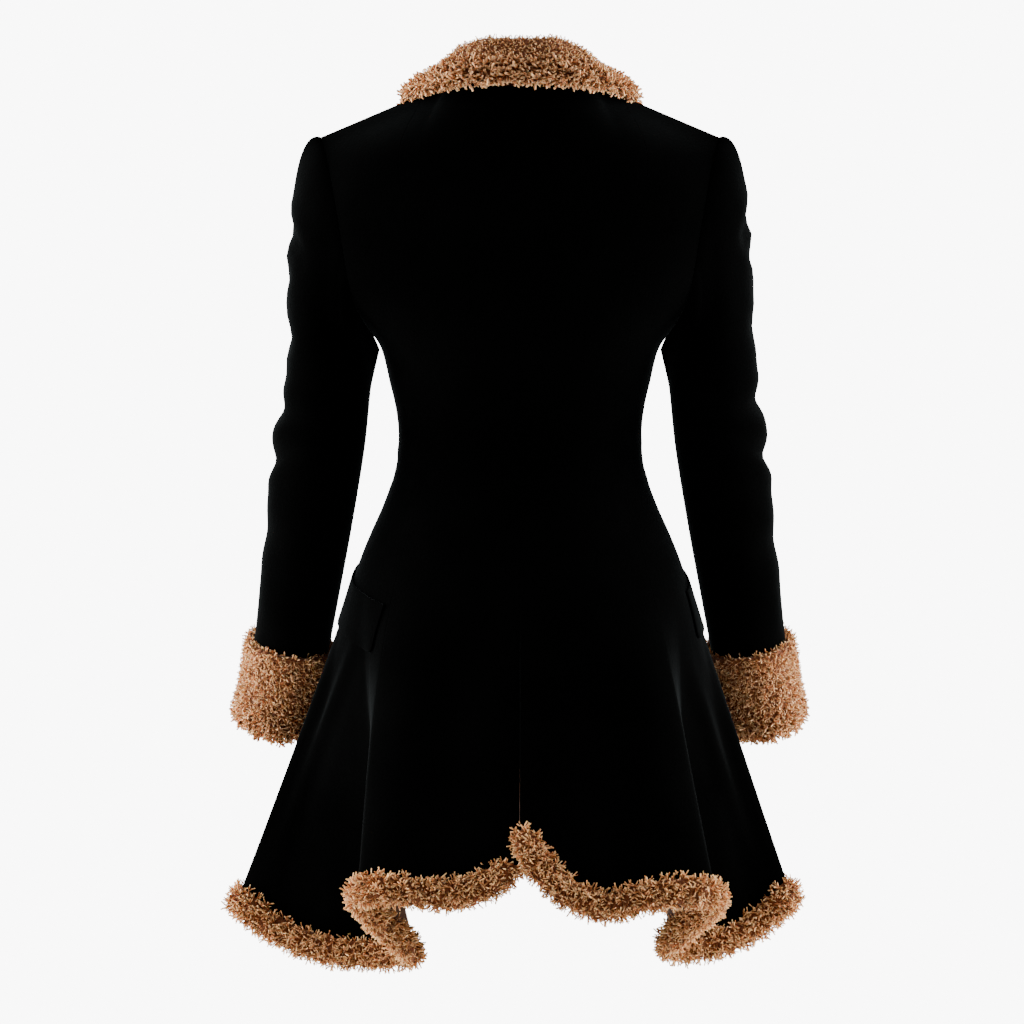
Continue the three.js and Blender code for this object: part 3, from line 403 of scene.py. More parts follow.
def neckline(at):
    """The half neckline, from the nape to the throat."""
    at = np.asarray(at, float)
    back = np.clip(at / NECK_POINT_AT, 0, 1) * np.pi / 2
    front = np.clip((at - NECK_POINT_AT) / (1 - NECK_POINT_AT), 0, 1) * np.pi / 2
    behind = np.stack([
        NECK_HALF_WIDTH * np.sin(back),
        NECK_MID_Y + NAPE_REACH * np.cos(back),
        NECK_POINT[2] * np.sin(back) ** 2,
    ], -1)
    before = np.stack([
        NECK_HALF_WIDTH * np.cos(front),
        NECK_MID_Y - THROAT_REACH * np.sin(front),
        NECK_POINT[2] + (THROAT_Z - NECK_POINT[2]) * np.sin(front) ** THROAT_ROUNDNESS,
    ], -1)
    return np.where((at <= NECK_POINT_AT)[..., None], behind, before)


def top_edge(share):
    """The top of the panels: neckline and shoulder seam."""
    share = np.asarray(share, float)
    up = np.clip((share - BACK_NECK_SHARE) / (SIDE - BACK_NECK_SHARE), 0, 1)[..., None]
    down = np.clip((share - SIDE) / (FRONT_NECK_SHARE - SIDE), 0, 1)[..., None]
    seam_back = NECK_POINT + (SHOULDER_POINT - NECK_POINT) * up
    seam_front = SHOULDER_POINT + (NECK_POINT - SHOULDER_POINT) * down
    neck_back = neckline(share / BACK_NECK_SHARE * NECK_POINT_AT)
    neck_front = neckline(
        NECK_POINT_AT + (1 - NECK_POINT_AT) * (share - FRONT_NECK_SHARE) / (1 - FRONT_NECK_SHARE))
    s = share[..., None]
    front = np.where(s <= FRONT_NECK_SHARE, seam_front, neck_front)
    return np.where(s <= BACK_NECK_SHARE, neck_back, np.where(s <= SIDE, seam_back, front))


def upper_row(row, share, is_front):
    mid_y, mid_z, arm_x, arm_y, arm_z, turn = row
    t = (1 - share) / (1 - SIDE) if is_front else share / SIDE
    t = t[..., None]
    a, b = np.array([0, mid_y, mid_z]), np.array([arm_x * 0.5, mid_y, mid_z])
    c, d = np.array([arm_x * 0.84, arm_y + turn, arm_z]), np.array([arm_x, arm_y, arm_z])
    return a * (1 - t) ** 3 + 3 * b * t * (1 - t) ** 2 + 3 * c * t**2 * (1 - t) + d * t**3


class BodyHalf:
    """One half of the body: level runs from 0 at the hem to 1 at the hip, on to the underarm and the shoulder."""

    def __init__(self, side):
        self.sign = 1 if side == "left" else -1
        rows = np.array(HEM_LEFT if side == "left" else HEM_RIGHT, float)
        self.hem, self.shares = rows[:, :3], rows[:, 3]
        self.underarm = len(BODY_RINGS)
        self.top = self.underarm + len(BACK_ROWS) + 1
        self.last = len(rows) - 1

    def column_of(self, share):
        """The place of a share along the hem's table. Past 1 a share is mirrored."""
        past = share > 1
        column = np.interp(np.where(past, 2 - share, share), self.shares, np.arange(self.last + 1))
        return np.where(past, 2 * self.last - column, column)

    def share_of(self, column):
        """The share at a place along the hem's table, the other way round."""
        past = column > self.last
        share = np.interp(np.where(past, 2 * self.last - column, column), np.arange(self.last + 1), self.shares)
        return np.where(past, 2 - share, share)

    def points(self, shares, levels, is_front):
        """Grid of points: a row for each level, a column for each share. Past 1 a share is mirrored."""
        shares = np.asarray(shares, float)
        past = shares > 1
        share = np.where(past, 2 - shares, shares)
        hem = through(self.hem, self.column_of(share))
        hip = ring_point(BODY_RINGS[0], share)
        flare = ring_point((0, *FLARE[:3]), share, hem[:, 2])
        flare[:, 1] += FLARE[3]
        upright = [ring_point(ring, share) for ring in BODY_RINGS]
        upright += [upper_row(row, share, is_front) for row in (FRONT_ROWS if is_front else BACK_ROWS)]
        upright = np.stack([*upright, top_edge(share)], 1)
        grid = []
        for level in levels:
            if level < 1:
                down = 1 - level
                grid.append(hip * level + flare * down + (hem - flare) * down**FOLD_EASE)
            else:
                grid.append(through(upright, [level - 1])[:, 0])
        grid = np.array(grid)
        if self.sign == 1:
            set_in = UNDERLAP_DEPTH * smoothstep(share, UNDERLAP_FROM - UNDERLAP_RAMP, UNDERLAP_FROM)
            grid[..., 1] += set_in * np.sign(-grid[..., 1])
        grid[..., 0] *= np.where(past, -1, 1) * self.sign
        return grid


# ---- walls from grids
def cross_normals(grid, closed=False):
    up = np.gradient(grid, axis=0)
    if closed:
        wrapped = np.concatenate([grid[:, -2:-1], grid, grid[:, 1:2]], 1)
        along = (wrapped[:, 2:] - wrapped[:, :-2]) / 2
    else:
        along = np.gradient(grid, axis=1)
    n = np.cross(along, up)
    return n / np.maximum(np.linalg.norm(n, axis=-1, keepdims=True), 1e-9)


def make_mesh(name, points, faces, attributes=None):
    """A smooth piece from points in millimetres; its object sits at the origin."""
    mesh = bpy.data.meshes.new(name)
    mesh.from_pydata((np.asarray(points) * MM).tolist(), [], faces)
    mesh.validate()
    for key, values in (attributes or {}).items():
        kind, field = ("FLOAT_VECTOR", "vector") if values.ndim == 2 else ("FLOAT", "value")
        layer = mesh.attributes.new(key, kind, "POINT")
        layer.data.foreach_set(field, values.astype(np.float32).ravel())
    mesh.polygons.foreach_set("use_smooth", [True] * len(mesh.polygons))
    mesh.update()
    return placed(name, mesh)


def wall_faces(rows, columns):
    """Faces of a closed wall whose outer points come first and inner points second."""
    at = lambda r, c, side: side * rows * columns + r * columns + c
    faces = []
    for r in range(rows - 1):
        for c in range(columns - 1):
            faces.append((at(r, c, 0), at(r, c + 1, 0), at(r + 1, c + 1, 0), at(r + 1, c, 0)))
            faces.append((at(r, c, 1), at(r + 1, c, 1), at(r + 1, c + 1, 1), at(r, c + 1, 1)))
    for c in range(columns - 1):
        faces.append((at(0, c, 0), at(0, c, 1), at(0, c + 1, 1), at(0, c + 1, 0)))
        r = rows - 1
        faces.append((at(r, c + 1, 0), at(r, c + 1, 1), at(r, c, 1), at(r, c, 0)))
    for r in range(rows - 1):
        faces.append((at(r + 1, 0, 0), at(r + 1, 0, 1), at(r, 0, 1), at(r, 0, 0)))
        c = columns - 1
        faces.append((at(r, c, 0), at(r, c, 1), at(r + 1, c, 1), at(r + 1, c, 0)))
    return faces


def signed_volume(points, faces):
    total = 0.0
    p = np.asarray(points)
    for k in (1, 2):
        a, b, c = (p[[f[i] for f in faces]] for i in (0, k, k + 1))
        total += np.einsum("ij,ij->i", a, np.cross(b, c)).sum()
    return total


RIM_DEPTH = 0.4  # how far a wall's rim lies below its face
SHARP_ANGLE = 50
COVER, INNER, RIM = 0, 1, 2  # a wall's materials


def wall(name, outer, normals, thickness, cover, set_in=0.0):
    """A cloth wall from a grid of outer points. A velvet one reaches into its seams, and its rims are dark."""
    is_velvet = cover == VELVET
    rows, columns = outer.shape[:2]
    sunk = np.full((rows, columns), RIM_DEPTH)
    sunk[1:-1, 1:-1] = 0
    front = outer - normals * (set_in + sunk)[..., None]
    back = outer - normals * (set_in + thickness)
    for here, beside in ((0, 1), (-1, -2)):
        step = back[:, beside] - back[:, here]
        length = np.maximum(np.linalg.norm(step, axis=-1, keepdims=True), 1e-9)
        step = step / length * (SEAM_GAP if is_velvet else 0)
        back[:, here] -= step
        front[:, here] -= step
    points = np.concatenate([front.reshape(-1, 3), back.reshape(-1, 3)])
    faces = wall_faces(rows, columns)
    if signed_volume(points, faces) < 0:
        faces = [face[::-1] for face in faces]
    piece = make_mesh(name, points, faces)
    piece.data.set_sharp_from_angle(angle=math.radians(SHARP_ANGLE))

    broad = 2 * (rows - 1) * (columns - 1)
    inside = np.full((rows - 1, columns - 1), INNER)
    if is_velvet:
        inside[:, [0, -1]] = RIM
    places = np.full(len(faces), RIM if is_velvet else COVER)
    places[0:broad:2] = COVER
    places[1:broad:2] = inside.ravel()
    for part in (cover, SATIN, VELVET_EDGE):
        piece.data.materials.append(part)
    piece.data.polygons.foreach_set("material_index", places)

    return piece


def loft(name, sections, closed, attributes):
    """A solid through sections of the same number of points, capped at both ends or joined in a ring."""
    rings, count = sections.shape[:2]
    points = sections.reshape(-1, 3)
    faces = []
    for s in range(rings if closed else rings - 1):
        t = (s + 1) % rings
        for i in range(count):
            j = (i + 1) % count
            faces.append((s * count + i, s * count + j, t * count + j, t * count + i))
    inside_out = signed_volume(points, faces) < 0
    if not closed:
        last = (rings - 1) * count
        faces += [tuple(range(count))[::-1], tuple(range(last, last + count))]
    if inside_out:
        faces = [face[::-1] for face in faces]
    return make_mesh(name, points, faces, attributes)


def even(low, high, step):
    """Positions from low to high about a step apart, with closer ones beside each end."""
    count = max(2, round((high - low) / step))
    values = np.linspace(low, high, count + 1)
    near = (high - low) / count
    ends = [low + near * 0.18, low + near * 0.5, high - near * 0.5, high - near * 0.18]
    return np.unique(np.round(np.concatenate([values, ends]), 6))


def soften(grid, band, passes):
    """Rounds a band of a grid's rows into each other, where two forms meet."""
    grid = grid.copy()
    for _ in range(passes):
        beside = grid[band.start - 1:band.stop - 1] + grid[band.start + 1:band.stop + 1]
        grid[band] = grid[band] * 0.5 + 0.25 * beside
    return grid


def facing_out(grid, normals):
    """The directions of a body grid, turned away from the body's middle line."""
    row, column = 20, 5
    from_middle = grid[row, column] * (1, 1, 0)
    return -normals if normals[row, column] @ from_middle < 0 else normals


# ---- creases
def trough(places, x0, z0, x1, z1, width, depth):
    """How far a soft trough moves each place of a flat pattern inwards; a depth below 0 makes a ridge."""
    start, axis = np.array([x0, z0], float), np.array([x1 - x0, z1 - z0], float)
    t = ((places - start) @ axis) / max(axis @ axis, 1e-6)
    near = start + np.clip(t, 0, 1)[..., None] * axis
    wave = np.linalg.norm(places - near, axis=-1) / width
    fade = smoothstep(t, -0.15, 0.35) * (1 - smoothstep(t, 0.65, 1.15))
    hollow, banks = np.exp(-(wave**2)), 0.35 * np.exp(-(((wave - 1.9) / 0.9) ** 2))
    return depth * (hollow - banks) * fade


def press_body(grid, normals, creases):
    """Creases of a body panel, laid out as seen from behind."""
    places = np.stack([np.abs(grid[..., 0]), grid[..., 2]], -1)
    return grid - normals * sum(trough(places, *crease) for crease in creases)[..., None]


def press_sleeve(grid, normals, shares, creases):
    """Creases of a sleeve, each laid out on the sleeve unrolled about its own middle."""
    girth = np.linalg.norm(np.diff(grid, axis=1), axis=-1).sum(1)[:, None]
    pressed = np.zeros(grid.shape[:2])
    for start, start_z, end, end_z, width, depth in creases:
        middle = (start + end) / 2
        places = np.stack([((shares - middle + 0.5) % 1 - 0.5) * girth, grid[..., 2]], -1)
        reach = (end - start) / 2 * girth[GIRTH_ROW, 0]
        pressed += trough(places, -reach, start_z, reach, end_z, width, depth)
    return grid - normals * pressed[..., None]


# Creases: two ends, half width and depth. An end is |x| and z on the body, share and z on a sleeve.
BODY_CREASES = {
    ("back", "left"): [
        (122, -338, 76, -366, 9, 1.8), (124, -372, 88, -392, 8, 1.5), (150, -246, 104, -300, 14, 2.2),
        (12, -270, 10, -420, 26, 2.4), (60, -560, 74, -775, 30, 3.2), (98, -540, 116, -780, 20, -2.4),
    ],
    ("back", "right"): [
        (120, -330, 82, -352, 8, 1.6), (124, -362, 80, -386, 9, 1.9), (152, -252, 112, -296, 13, 1.9),
        (12, -270, 10, -420, 26, 2.4), (70, -570, 92, -790, 30, 3), (112, -545, 140, -780, 22, -2.6),
    ],
    ("side", "left"): [
        (166, -556, 258, -808, 6, -2.2), (174, -556, 270, -806, 5, 2), (124, -350, 104, -362, 8, 1.6),
        (126, -388, 108, -400, 8, 1.4),
    ],
    ("side", "right"): [
        (168, -570, 244, -812, 7, -1.8), (176, -566, 256, -808, 6, 1.6), (123, -342, 106, -352, 8, 1.4),
        (125, -376, 106, -390, 8, 1.7),
    ],
    ("front", "left"): [
        (118, -345, 84, -366, 9, 1.7), (122, -384, 92, -398, 8, 1.4), (146, -250, 104, -292, 14, 2.4),
        (96, -560, 118, -800, 26, 3.6), (140, -560, 176, -815, 24, -3.2), (60, -600, 66, -790, 22, -1.8),
    ],
    ("front", "right"): [
        (120, -336, 80, -352, 8, 1.8), (121, -376, 90, -394, 9, 1.5), (148, -254, 110, -290, 13, 2),
        (104, -566, 130, -805, 26, 3.2), (146, -560, 184, -820, 22, -3.4), (66, -590, 76, -795, 20, -1.6),
    ],
}
SLEEVE_CREASES = {
    "left": [
        (-0.12, -126, 0.2, -170, 11, 4.2), (-0.14, -236, 0.12, -258, 12, 3.4),
        (-0.16, -312, 0.2, -334, 11, 4.4), (-0.16, -384, 0.2, -366, 11, 4.4),
        (-0.1, -438, 0.14, -456, 15, 2), (0.1, -500, 0.34, -524, 16, 1.8), (0.56, -392, 0.8, -416, 12, 4),
        (0.58, -442, 0.84, -428, 11, 3), (0.6, -348, 0.82, -372, 14, 2.6), (0.4, -272, 0.2, -222, 15, 2.6),
        (0.62, -268, 0.8, -206, 15, 2.8), (0.8, -160, 0.92, -120, 12, 2),
        (0.08, -392, 0.34, -408, 15, 1.8), (0.7, -520, 0.92, -500, 16, 1.8),
        (-0.1, -196, 0.1, -184, 11, 2), (-0.01, -215, 0.02, -330, 30, 3.6),
    ],
    "right": [
        (-0.12, -110, 0.17, -158, 11, 3.8), (-0.14, -174, 0.14, -156, 11, 3.6),
        (-0.14, -298, 0.18, -328, 11, 4.8), (-0.16, -382, 0.2, -358, 11, 5.4),
        (-0.1, -446, 0.16, -470, 15, 2.2), (0.12, -520, 0.32, -500, 16, 1.8),
        (0.57, -384, 0.82, -410, 12, 3.8), (0.58, -436, 0.86, -420, 11, 3.2),
        (0.6, -340, 0.8, -362, 14, 2.4), (0.4, -268, 0.22, -214, 15, 2.4),
        (0.62, -272, 0.78, -212, 15, 2.8), (0.82, -170, 0.93, -132, 12, 1.8),
        (0.06, -408, 0.32, -420, 15, 1.8), (0.68, -500, 0.9, -524, 16, 2),
        (-0.1, -232, 0.12, -246, 14, 2.4),
    ],
}


# ---- body
# Rows of each grid: up the skirt, then from the hip to the shoulder. Steps between columns are in rows of the hem
SKIRT_ROWS, UPPER_ROWS = 49, 99
LEVELS = np.concatenate([np.linspace(0, 1, SKIRT_ROWS), np.linspace(1, 12, UPPER_ROWS + 1)[1:]])
HIP_BAND, HIP_PASSES = slice(40, 62), 14
BACK_STEP, FRONT_STEP = 0.2, 0.25

halves = {side: BodyHalf(side) for side in ("left", "right")}
panels = {side: {} for side in halves}  # each panel's grid, its outward directions and its shares
pieces = {}  # by the node that each piece stands for

for side, half in halves.items():
    fold = BACK_FOLD_SHARE[side]
    behind = BODY_CREASES["back", side] + BODY_CREASES["side", side]
    for panel, low, high, step, creases in (
        ("back", 0, fold, BACK_STEP, behind),
        ("side", fold, SIDE, BACK_STEP, behind),
        ("front", SIDE, 1 + BUTTON_STAND, FRONT_STEP, BODY_CREASES["front", side]),
    ):
        shares = half.share_of(even(half.column_of(low), half.column_of(high), step))
        grid = soften(half.points(shares, LEVELS, panel == "front"), HIP_BAND, HIP_PASSES)
        normals = facing_out(grid, cross_normals(grid))
        grid = press_body(grid, normals, creases)
        panels[side][panel] = (grid, normals, shares)
        pieces[f"{panel}_{side}"] = wall(f"cloth_{panel}_{side}", grid, normals, WALL, VELVET)


# ---- sleeves
SLEEVE_STEPS, HEAD_ROWS, ARM_ROWS = 80, 34, 65
HEAD_SPREAD = 1.25
ARMHOLE_BAND, ARMHOLE_PASSES = slice(26, 44), 10
GIRTH_ROW = 40  # the row whose girth lays a crease's length out


class Sleeve:
    """Rings of a sleeve by position down its table and share of the way round from the shoulder over the back."""

    def __init__(self, half):
        self.half = half
        rings = np.array(ARM_RINGS, float)
        self.axis, self.sizes = rings[:, :3], rings[:, 3:]

    def armhole(self, shares):
        points = []
        for share in np.asarray(shares) % 1:
            is_front = share > SIDE
            climb = (share - SIDE) * 2 if is_front else 1 - share * 2
            level = self.half.underarm + climb * (self.half.top - self.half.underarm)
            x, y, z = self.half.points([SIDE], [level], is_front)[0, 0]
            points.append([abs(x), y, z])
        return np.array(points)

    def ring(self, position, shares, out=0.0):
        centre, size = through(self.axis, position)[0], through(self.sizes, position)[0]
        before, after = through(self.axis, [max(0, position - 0.05), min(len(ARM_RINGS) - 1, position + 0.05)])
        down = (after - before) / np.linalg.norm(after - before)
        across = np.array([1.0, 0, 0]) - down * down[0]
        across /= np.linalg.norm(across)
        deep = np.cross(across, down)
        angle = 2 * np.pi * np.asarray(shares)[:, None]
        return centre + across * np.cos(angle) * (size[0] + out) + deep * np.sin(angle) * (size[1] + out)

    def head(self, shares, start, a):
        end = self.ring(0, shares)
        weight = (np.cos(np.pi * np.asarray(shares)) ** 2)[:, None]
        mix = lambda pair: pair[1] + (pair[0] - pair[1]) * weight
        drop = (start[:, 2:] - end[:, 2:]) / (SHOULDER_POINT[2] - ARM_RINGS[0][2])
        end_pull = mix(HEAD_END) * (1 + (drop - 1) * weight)
        return (start * (2 * a**3 - 3 * a**2 + 1) + mix(HEAD_START) * (a**3 - 2 * a**2 + a)
                + end * (3 * a**2 - 2 * a**3) + end_pull * (a**3 - a**2))

    def down_to(self, distance):
        length = np.linalg.norm(self.axis[CUFF_TOP_RING] - self.axis[-1])
        return distance * (len(ARM_RINGS) - 1 - CUFF_TOP_RING) / length

    def grid(self, shares):
        start = self.armhole(shares)
        rows = [self.head(shares, start, a) for a in np.linspace(0, 1, HEAD_ROWS) ** HEAD_SPREAD]
        end = CUFF_TOP_RING + self.down_to(CUFF_OVERLAP)
        rows += [self.ring(position, shares) for position in np.linspace(0, end, ARM_ROWS + 1)[1:]]
        grid = soften(np.array(rows), ARMHOLE_BAND, ARMHOLE_PASSES)
        grid[..., 0] *= self.half.sign
        return grid


sleeves = {side: Sleeve(half) for side, half in halves.items()}
for side, sleeve in sleeves.items():
    shares = SLEEVE_SEAMS[0] + np.arange(SLEEVE_STEPS + 1) / SLEEVE_STEPS
    grid = sleeve.grid(shares)
    normals = cross_normals(grid, closed=True)
    if ((grid - grid.mean(axis=1, keepdims=True)) * normals).sum() < 0:
        normals = -normals
    grid = press_sleeve(grid, normals, shares, SLEEVE_CREASES[side])
    seam = round((SLEEVE_SEAMS[1] - SLEEVE_SEAMS[0]) * SLEEVE_STEPS)
    for name, part in (("under", slice(0, seam + 1)), ("top", slice(seam, None))):
        pieces[f"sleeve_{name}_{side}"] = wall(
            f"cloth_sleeve_{name}_{side}", grid[:, part], normals[:, part], WALL, VELVET)


# ---- lining
LINING_ROWS, LINING_TO, LINING_WALL = slice(2, SKIRT_ROWS), 0.915, 1.0

for side, made in panels.items():
    back, beside, front = made.values()
    end = np.argmax(front[2] > LINING_TO)
    grid = np.concatenate([back[0][LINING_ROWS], beside[0][LINING_ROWS, 1:], front[0][LINING_ROWS, 1:end]], 1)
    normals = facing_out(grid, cross_normals(grid))
    pieces[f"skirt_lining_{side}"] = wall(f"lining_{side}", grid, normals, LINING_WALL, SATIN, WALL + SEAM_GAP)


# ---- pocket flaps
FLAPS = {"left": (91, -521, -36, -476), "right": (40, -509, -84, -465)}  # y and z of the ends of each top edge
FLAP_HEIGHT, FLAP_CORNER, FLAP_THICKNESS = 50, 8, 2.5
FLAP_GAP, FLAP_SMOOTHING = 0.5, 5.0
FLAP_ROWS, FLAP_COLUMNS = 26, 61
CLOTH_BEHIND_FLAP = slice(30, 90)


def flap_grid(side):
    """Points and outward directions of a pocket flap, laid on the side panel and the front."""
    from_y, from_z, to_y, to_z = FLAPS[side]
    cloth = np.concatenate([
        np.concatenate([part[CLOTH_BEHIND_FLAP] for part in panels[side][panel][:2]], -1).reshape(-1, 6)
        for panel in ("side", "front")])
    run = math.hypot(to_y - from_y, to_z - from_z)
    grid, normals = [], []
    for down in np.linspace(0, FLAP_HEIGHT, FLAP_ROWS):
        in_corner = max(0, down - FLAP_HEIGHT + FLAP_CORNER)
        inset = FLAP_CORNER - math.sqrt(max(0, FLAP_CORNER**2 - in_corner**2))
        share = np.linspace(inset / run, 1 - inset / run, FLAP_COLUMNS)[:, None]
        spots = np.concatenate([from_y + (to_y - from_y) * share, from_z + (to_z - from_z) * share - down], 1)
        apart = ((spots[:, None] - cloth[None, :, 1:3]) ** 2).sum(-1)
        near = np.exp(-apart / (2 * FLAP_SMOOTHING**2))
        found = near @ cloth / near.sum(1, keepdims=True)
        grid.append(np.column_stack([found[:, 0], spots]))
        normals.append(unit(found[:, 3:]))
    return np.array(grid)[::-1], np.array(normals)[::-1]


for side in FLAPS:
    grid, normals = flap_grid(side)
    outer = grid + normals * (FLAP_THICKNESS + FLAP_GAP)
    pieces[f"pocket_flap_{side}"] = wall(f"cloth_pocket_flap_{side}", outer, normals, FLAP_THICKNESS, VELVET)


# ---- fur forms
# Each form gives its sections, the way that its fur lies, where the fur grows, and the size of its locks
HEM_CUTS, HEM_POINTS, HEM_TOP_LEVEL = 150, 20, 1 / 6
CUFF_CUTS, CUFF_STEP, CUFF_LIFT = 48, 5, 8  # the lift is how much higher the cuff's top edge lies behind
COLLAR_CUTS, COLLAR_POINTS = 121, 15
COLLAR_ON_CLOTH, CLOTH_NEAR, CLOTH_CLEARANCE = 2.3, 9, 0.8
CUFF_RIM, COLLAR_EDGE = (62, 80), (2.9, 3.5)  # where longer fur starts, and where it is at its full length
SHOULDER_CLOTH = slice(100, None)


def hem_roll(side, shrink):
    """The fur roll along the hem."""
    half = halves[side]
    low, high = (half.column_of(share) for share in TRIM_SHARES[side])
    shares = half.share_of(np.linspace(low, high, HEM_CUTS))
    behind, before = (half.points(shares, [0, HEM_TOP_LEVEL], is_front) for is_front in (False, True))
    middle, above = np.where((shares > SIDE)[None, :, None], before, behind)
    along = unit(np.gradient(middle, axis=0))
    out = unit(np.cross(along, above - middle))
    halfway = HEM_CUTS // 2
    if out[halfway] @ (middle[halfway] * (1, 1, 0)) < 0:
        out = -out
    up = unit(np.cross(out, along))
    up *= np.sign(up[:, 2:])
    travel = np.concatenate([[0], np.cumsum(np.linalg.norm(np.diff(middle, axis=0), axis=-1))])
    to_end = np.minimum(travel, travel[-1] - travel)
    rounding = np.sqrt(np.minimum(1, (to_end + HEM_FUR_END * 0.2) / (HEM_FUR_END * 1.2)))[:, None, None]
    angle = 2 * np.pi * (np.arange(HEM_POINTS) + 0.5) / HEM_POINTS
    cos, sin = np.cos(angle)[None, :, None], np.sin(angle)[None, :, None]
    width, height = (HEM_FUR_THICKNESS - shrink) * rounding, (HEM_FUR_HEIGHT - shrink) * rounding
    out, up = out[:, None], up[:, None]
    sections = middle[:, None] + out * cos * width + up * sin * height
    lie = out * sin * np.sign(cos) - up * np.abs(cos)
    lie = lie * smoothstep(sin, -0.95, -0.3) + along[:, None] * 0.25
    everywhere = np.ones(sections.shape[:2])
    return sections, lie, everywhere, everywhere


def cuff_ring(side, shrink):
    """A cuff round the arm, with longer fur at its lower rim."""
    sleeve = sleeves[side]
    shares = np.arange(CUFF_CUTS) / CUFF_CUTS
    path = np.array(CUFF_SECTION, float)
    fine = []
    for a, b in zip(path, np.roll(path, -1, axis=0)):
        count = max(1, round(np.linalg.norm(b - a) / CUFF_STEP))
        fine += [a + (b - a) * t / count for t in range(count)]
    fine = np.array(fine)
    core = np.stack([np.clip(fine[:, 0], 6, 90), np.clip(fine[:, 1], -2.5, 6.5)], 1)
    fine = fine + (core - fine) * shrink
    behind = np.maximum(0, np.sin(2 * np.pi * shares))[:, None]

    def ring(down, out):
        lift = CUFF_LIFT * (1 - smoothstep(down, 0, 60))
        low, high = (sleeve.ring(CUFF_TOP_RING + sleeve.down_to(d), shares, out) for d in (down, down - lift))
        return low + (high - low) * behind

    ahead = 4  # the fur lies down the arm, so its way is read a little further down
    sections = np.array([ring(d, o) for d, o in fine]).transpose(1, 0, 2)
    ends = np.array([ring(d + ahead, o) for d, o in fine]).transpose(1, 0, 2)
    lie = (ends - sections) / ahead
    for part in (sections, lie):
        part[..., 0] *= sleeve.half.sign
    down, out = fine[:, 0], fine[:, 1]
    grow = np.where((out > 0.2) | (down > CUFF_RIM[1]) | (down < 5), 1.0, 0.0)
    size = 0.95 + 0.55 * smoothstep(down, *CUFF_RIM)
    round_arm = np.ones((CUFF_CUTS, 1))
    return sections, lie, grow * round_arm, size * round_arm


def collar_strip(shrink):
    """The collar from the wearer's left front over the nape to the right front, with longer fur at its edge."""
    table = np.array(COLLAR_SECTIONS, float)
    cloth = np.concatenate([
        grid[SHOULDER_CLOTH].reshape(-1, 3) for made in panels.values() for grid, _, _ in made.values()])
    sections, lies = [], []
    for along in np.linspace(-1, 1, COLLAR_CUTS):
        at, sign = abs(along) * table[-1, 0], (1 if along < 0 else -1)
        roll_out, roll_up, edge_out, edge_up = (np.interp(at, table[:, 0], table[:, k]) for k in (1, 2, 3, 4))
        seam = neckline(at)
        tangent = neckline(min(1, at + 0.01)) - neckline(max(0, at - 0.01))
        out = np.array([-tangent[1], tangent[0], 0])
        out /= np.linalg.norm(out)
        place = lambda o, u: np.array([(seam + out * o)[0] * sign, (seam + out * o)[1], seam[2] + u])
        line = np.array([
            place(COLLAR_SEAM[0] - 1.5, COLLAR_SEAM[1] - 7),
            place(COLLAR_SEAM[0] - 1, roll_up * 0.6),
            place(roll_out, roll_up),
            place((roll_out + edge_out) / 2, roll_up + (edge_up - roll_up) * COLLAR_FALL),
            place(edge_out, edge_up),
        ])
        side_way = np.array([out[0] * sign, out[1], 0])
        last = len(line) - 1
        positions = np.linspace(0, last, COLLAR_POINTS)
        middle = through(line, positions)
        before, after = np.maximum(0, positions - 0.5), np.minimum(last, positions + 0.5)
        ahead = unit(through(line, after) - through(line, before))
        outwards = unit(np.array([0, 0, 1.0]) * -(ahead @ side_way)[:, None] + side_way * ahead[:, 2:])
        half_thick = np.interp(positions, np.linspace(0, last, len(COLLAR_HALF_THICKNESS)), COLLAR_HALF_THICKNESS)
        thick = half_thick[:, None] - shrink * smoothstep(positions, 0, 1)[:, None]
        upper, lower = middle - outwards * thick, middle + outwards * thick
        for face, sheets_below in ((upper, 2), (lower, 0)):
            for k in np.flatnonzero(positions > COLLAR_ON_CLOTH):
                near = np.linalg.norm(cloth[:, :2] - face[k, :2], axis=1) < CLOTH_NEAR
                if near.any():
                    lowest = cloth[near, 2].max() + CLOTH_CLEARANCE + sheets_below * thick[k, 0]
                    face[k, 2] = max(face[k, 2], lowest)
        sections.append(np.concatenate([upper, lower[::-1]]))
        lies.append(np.concatenate([ahead, ahead[::-1] * 0.6]))
    down = np.concatenate([positions, positions[::-1]])
    shown = np.arange(2 * COLLAR_POINTS) < COLLAR_POINTS
    grow = np.where(shown | (down > COLLAR_EDGE[0]), 1.0, 0.0)
    size = 0.75 + 0.75 * smoothstep(down, *COLLAR_EDGE)
    run = np.ones((COLLAR_CUTS, 1))
    return np.array(sections), np.array(lies), grow * run, size * run


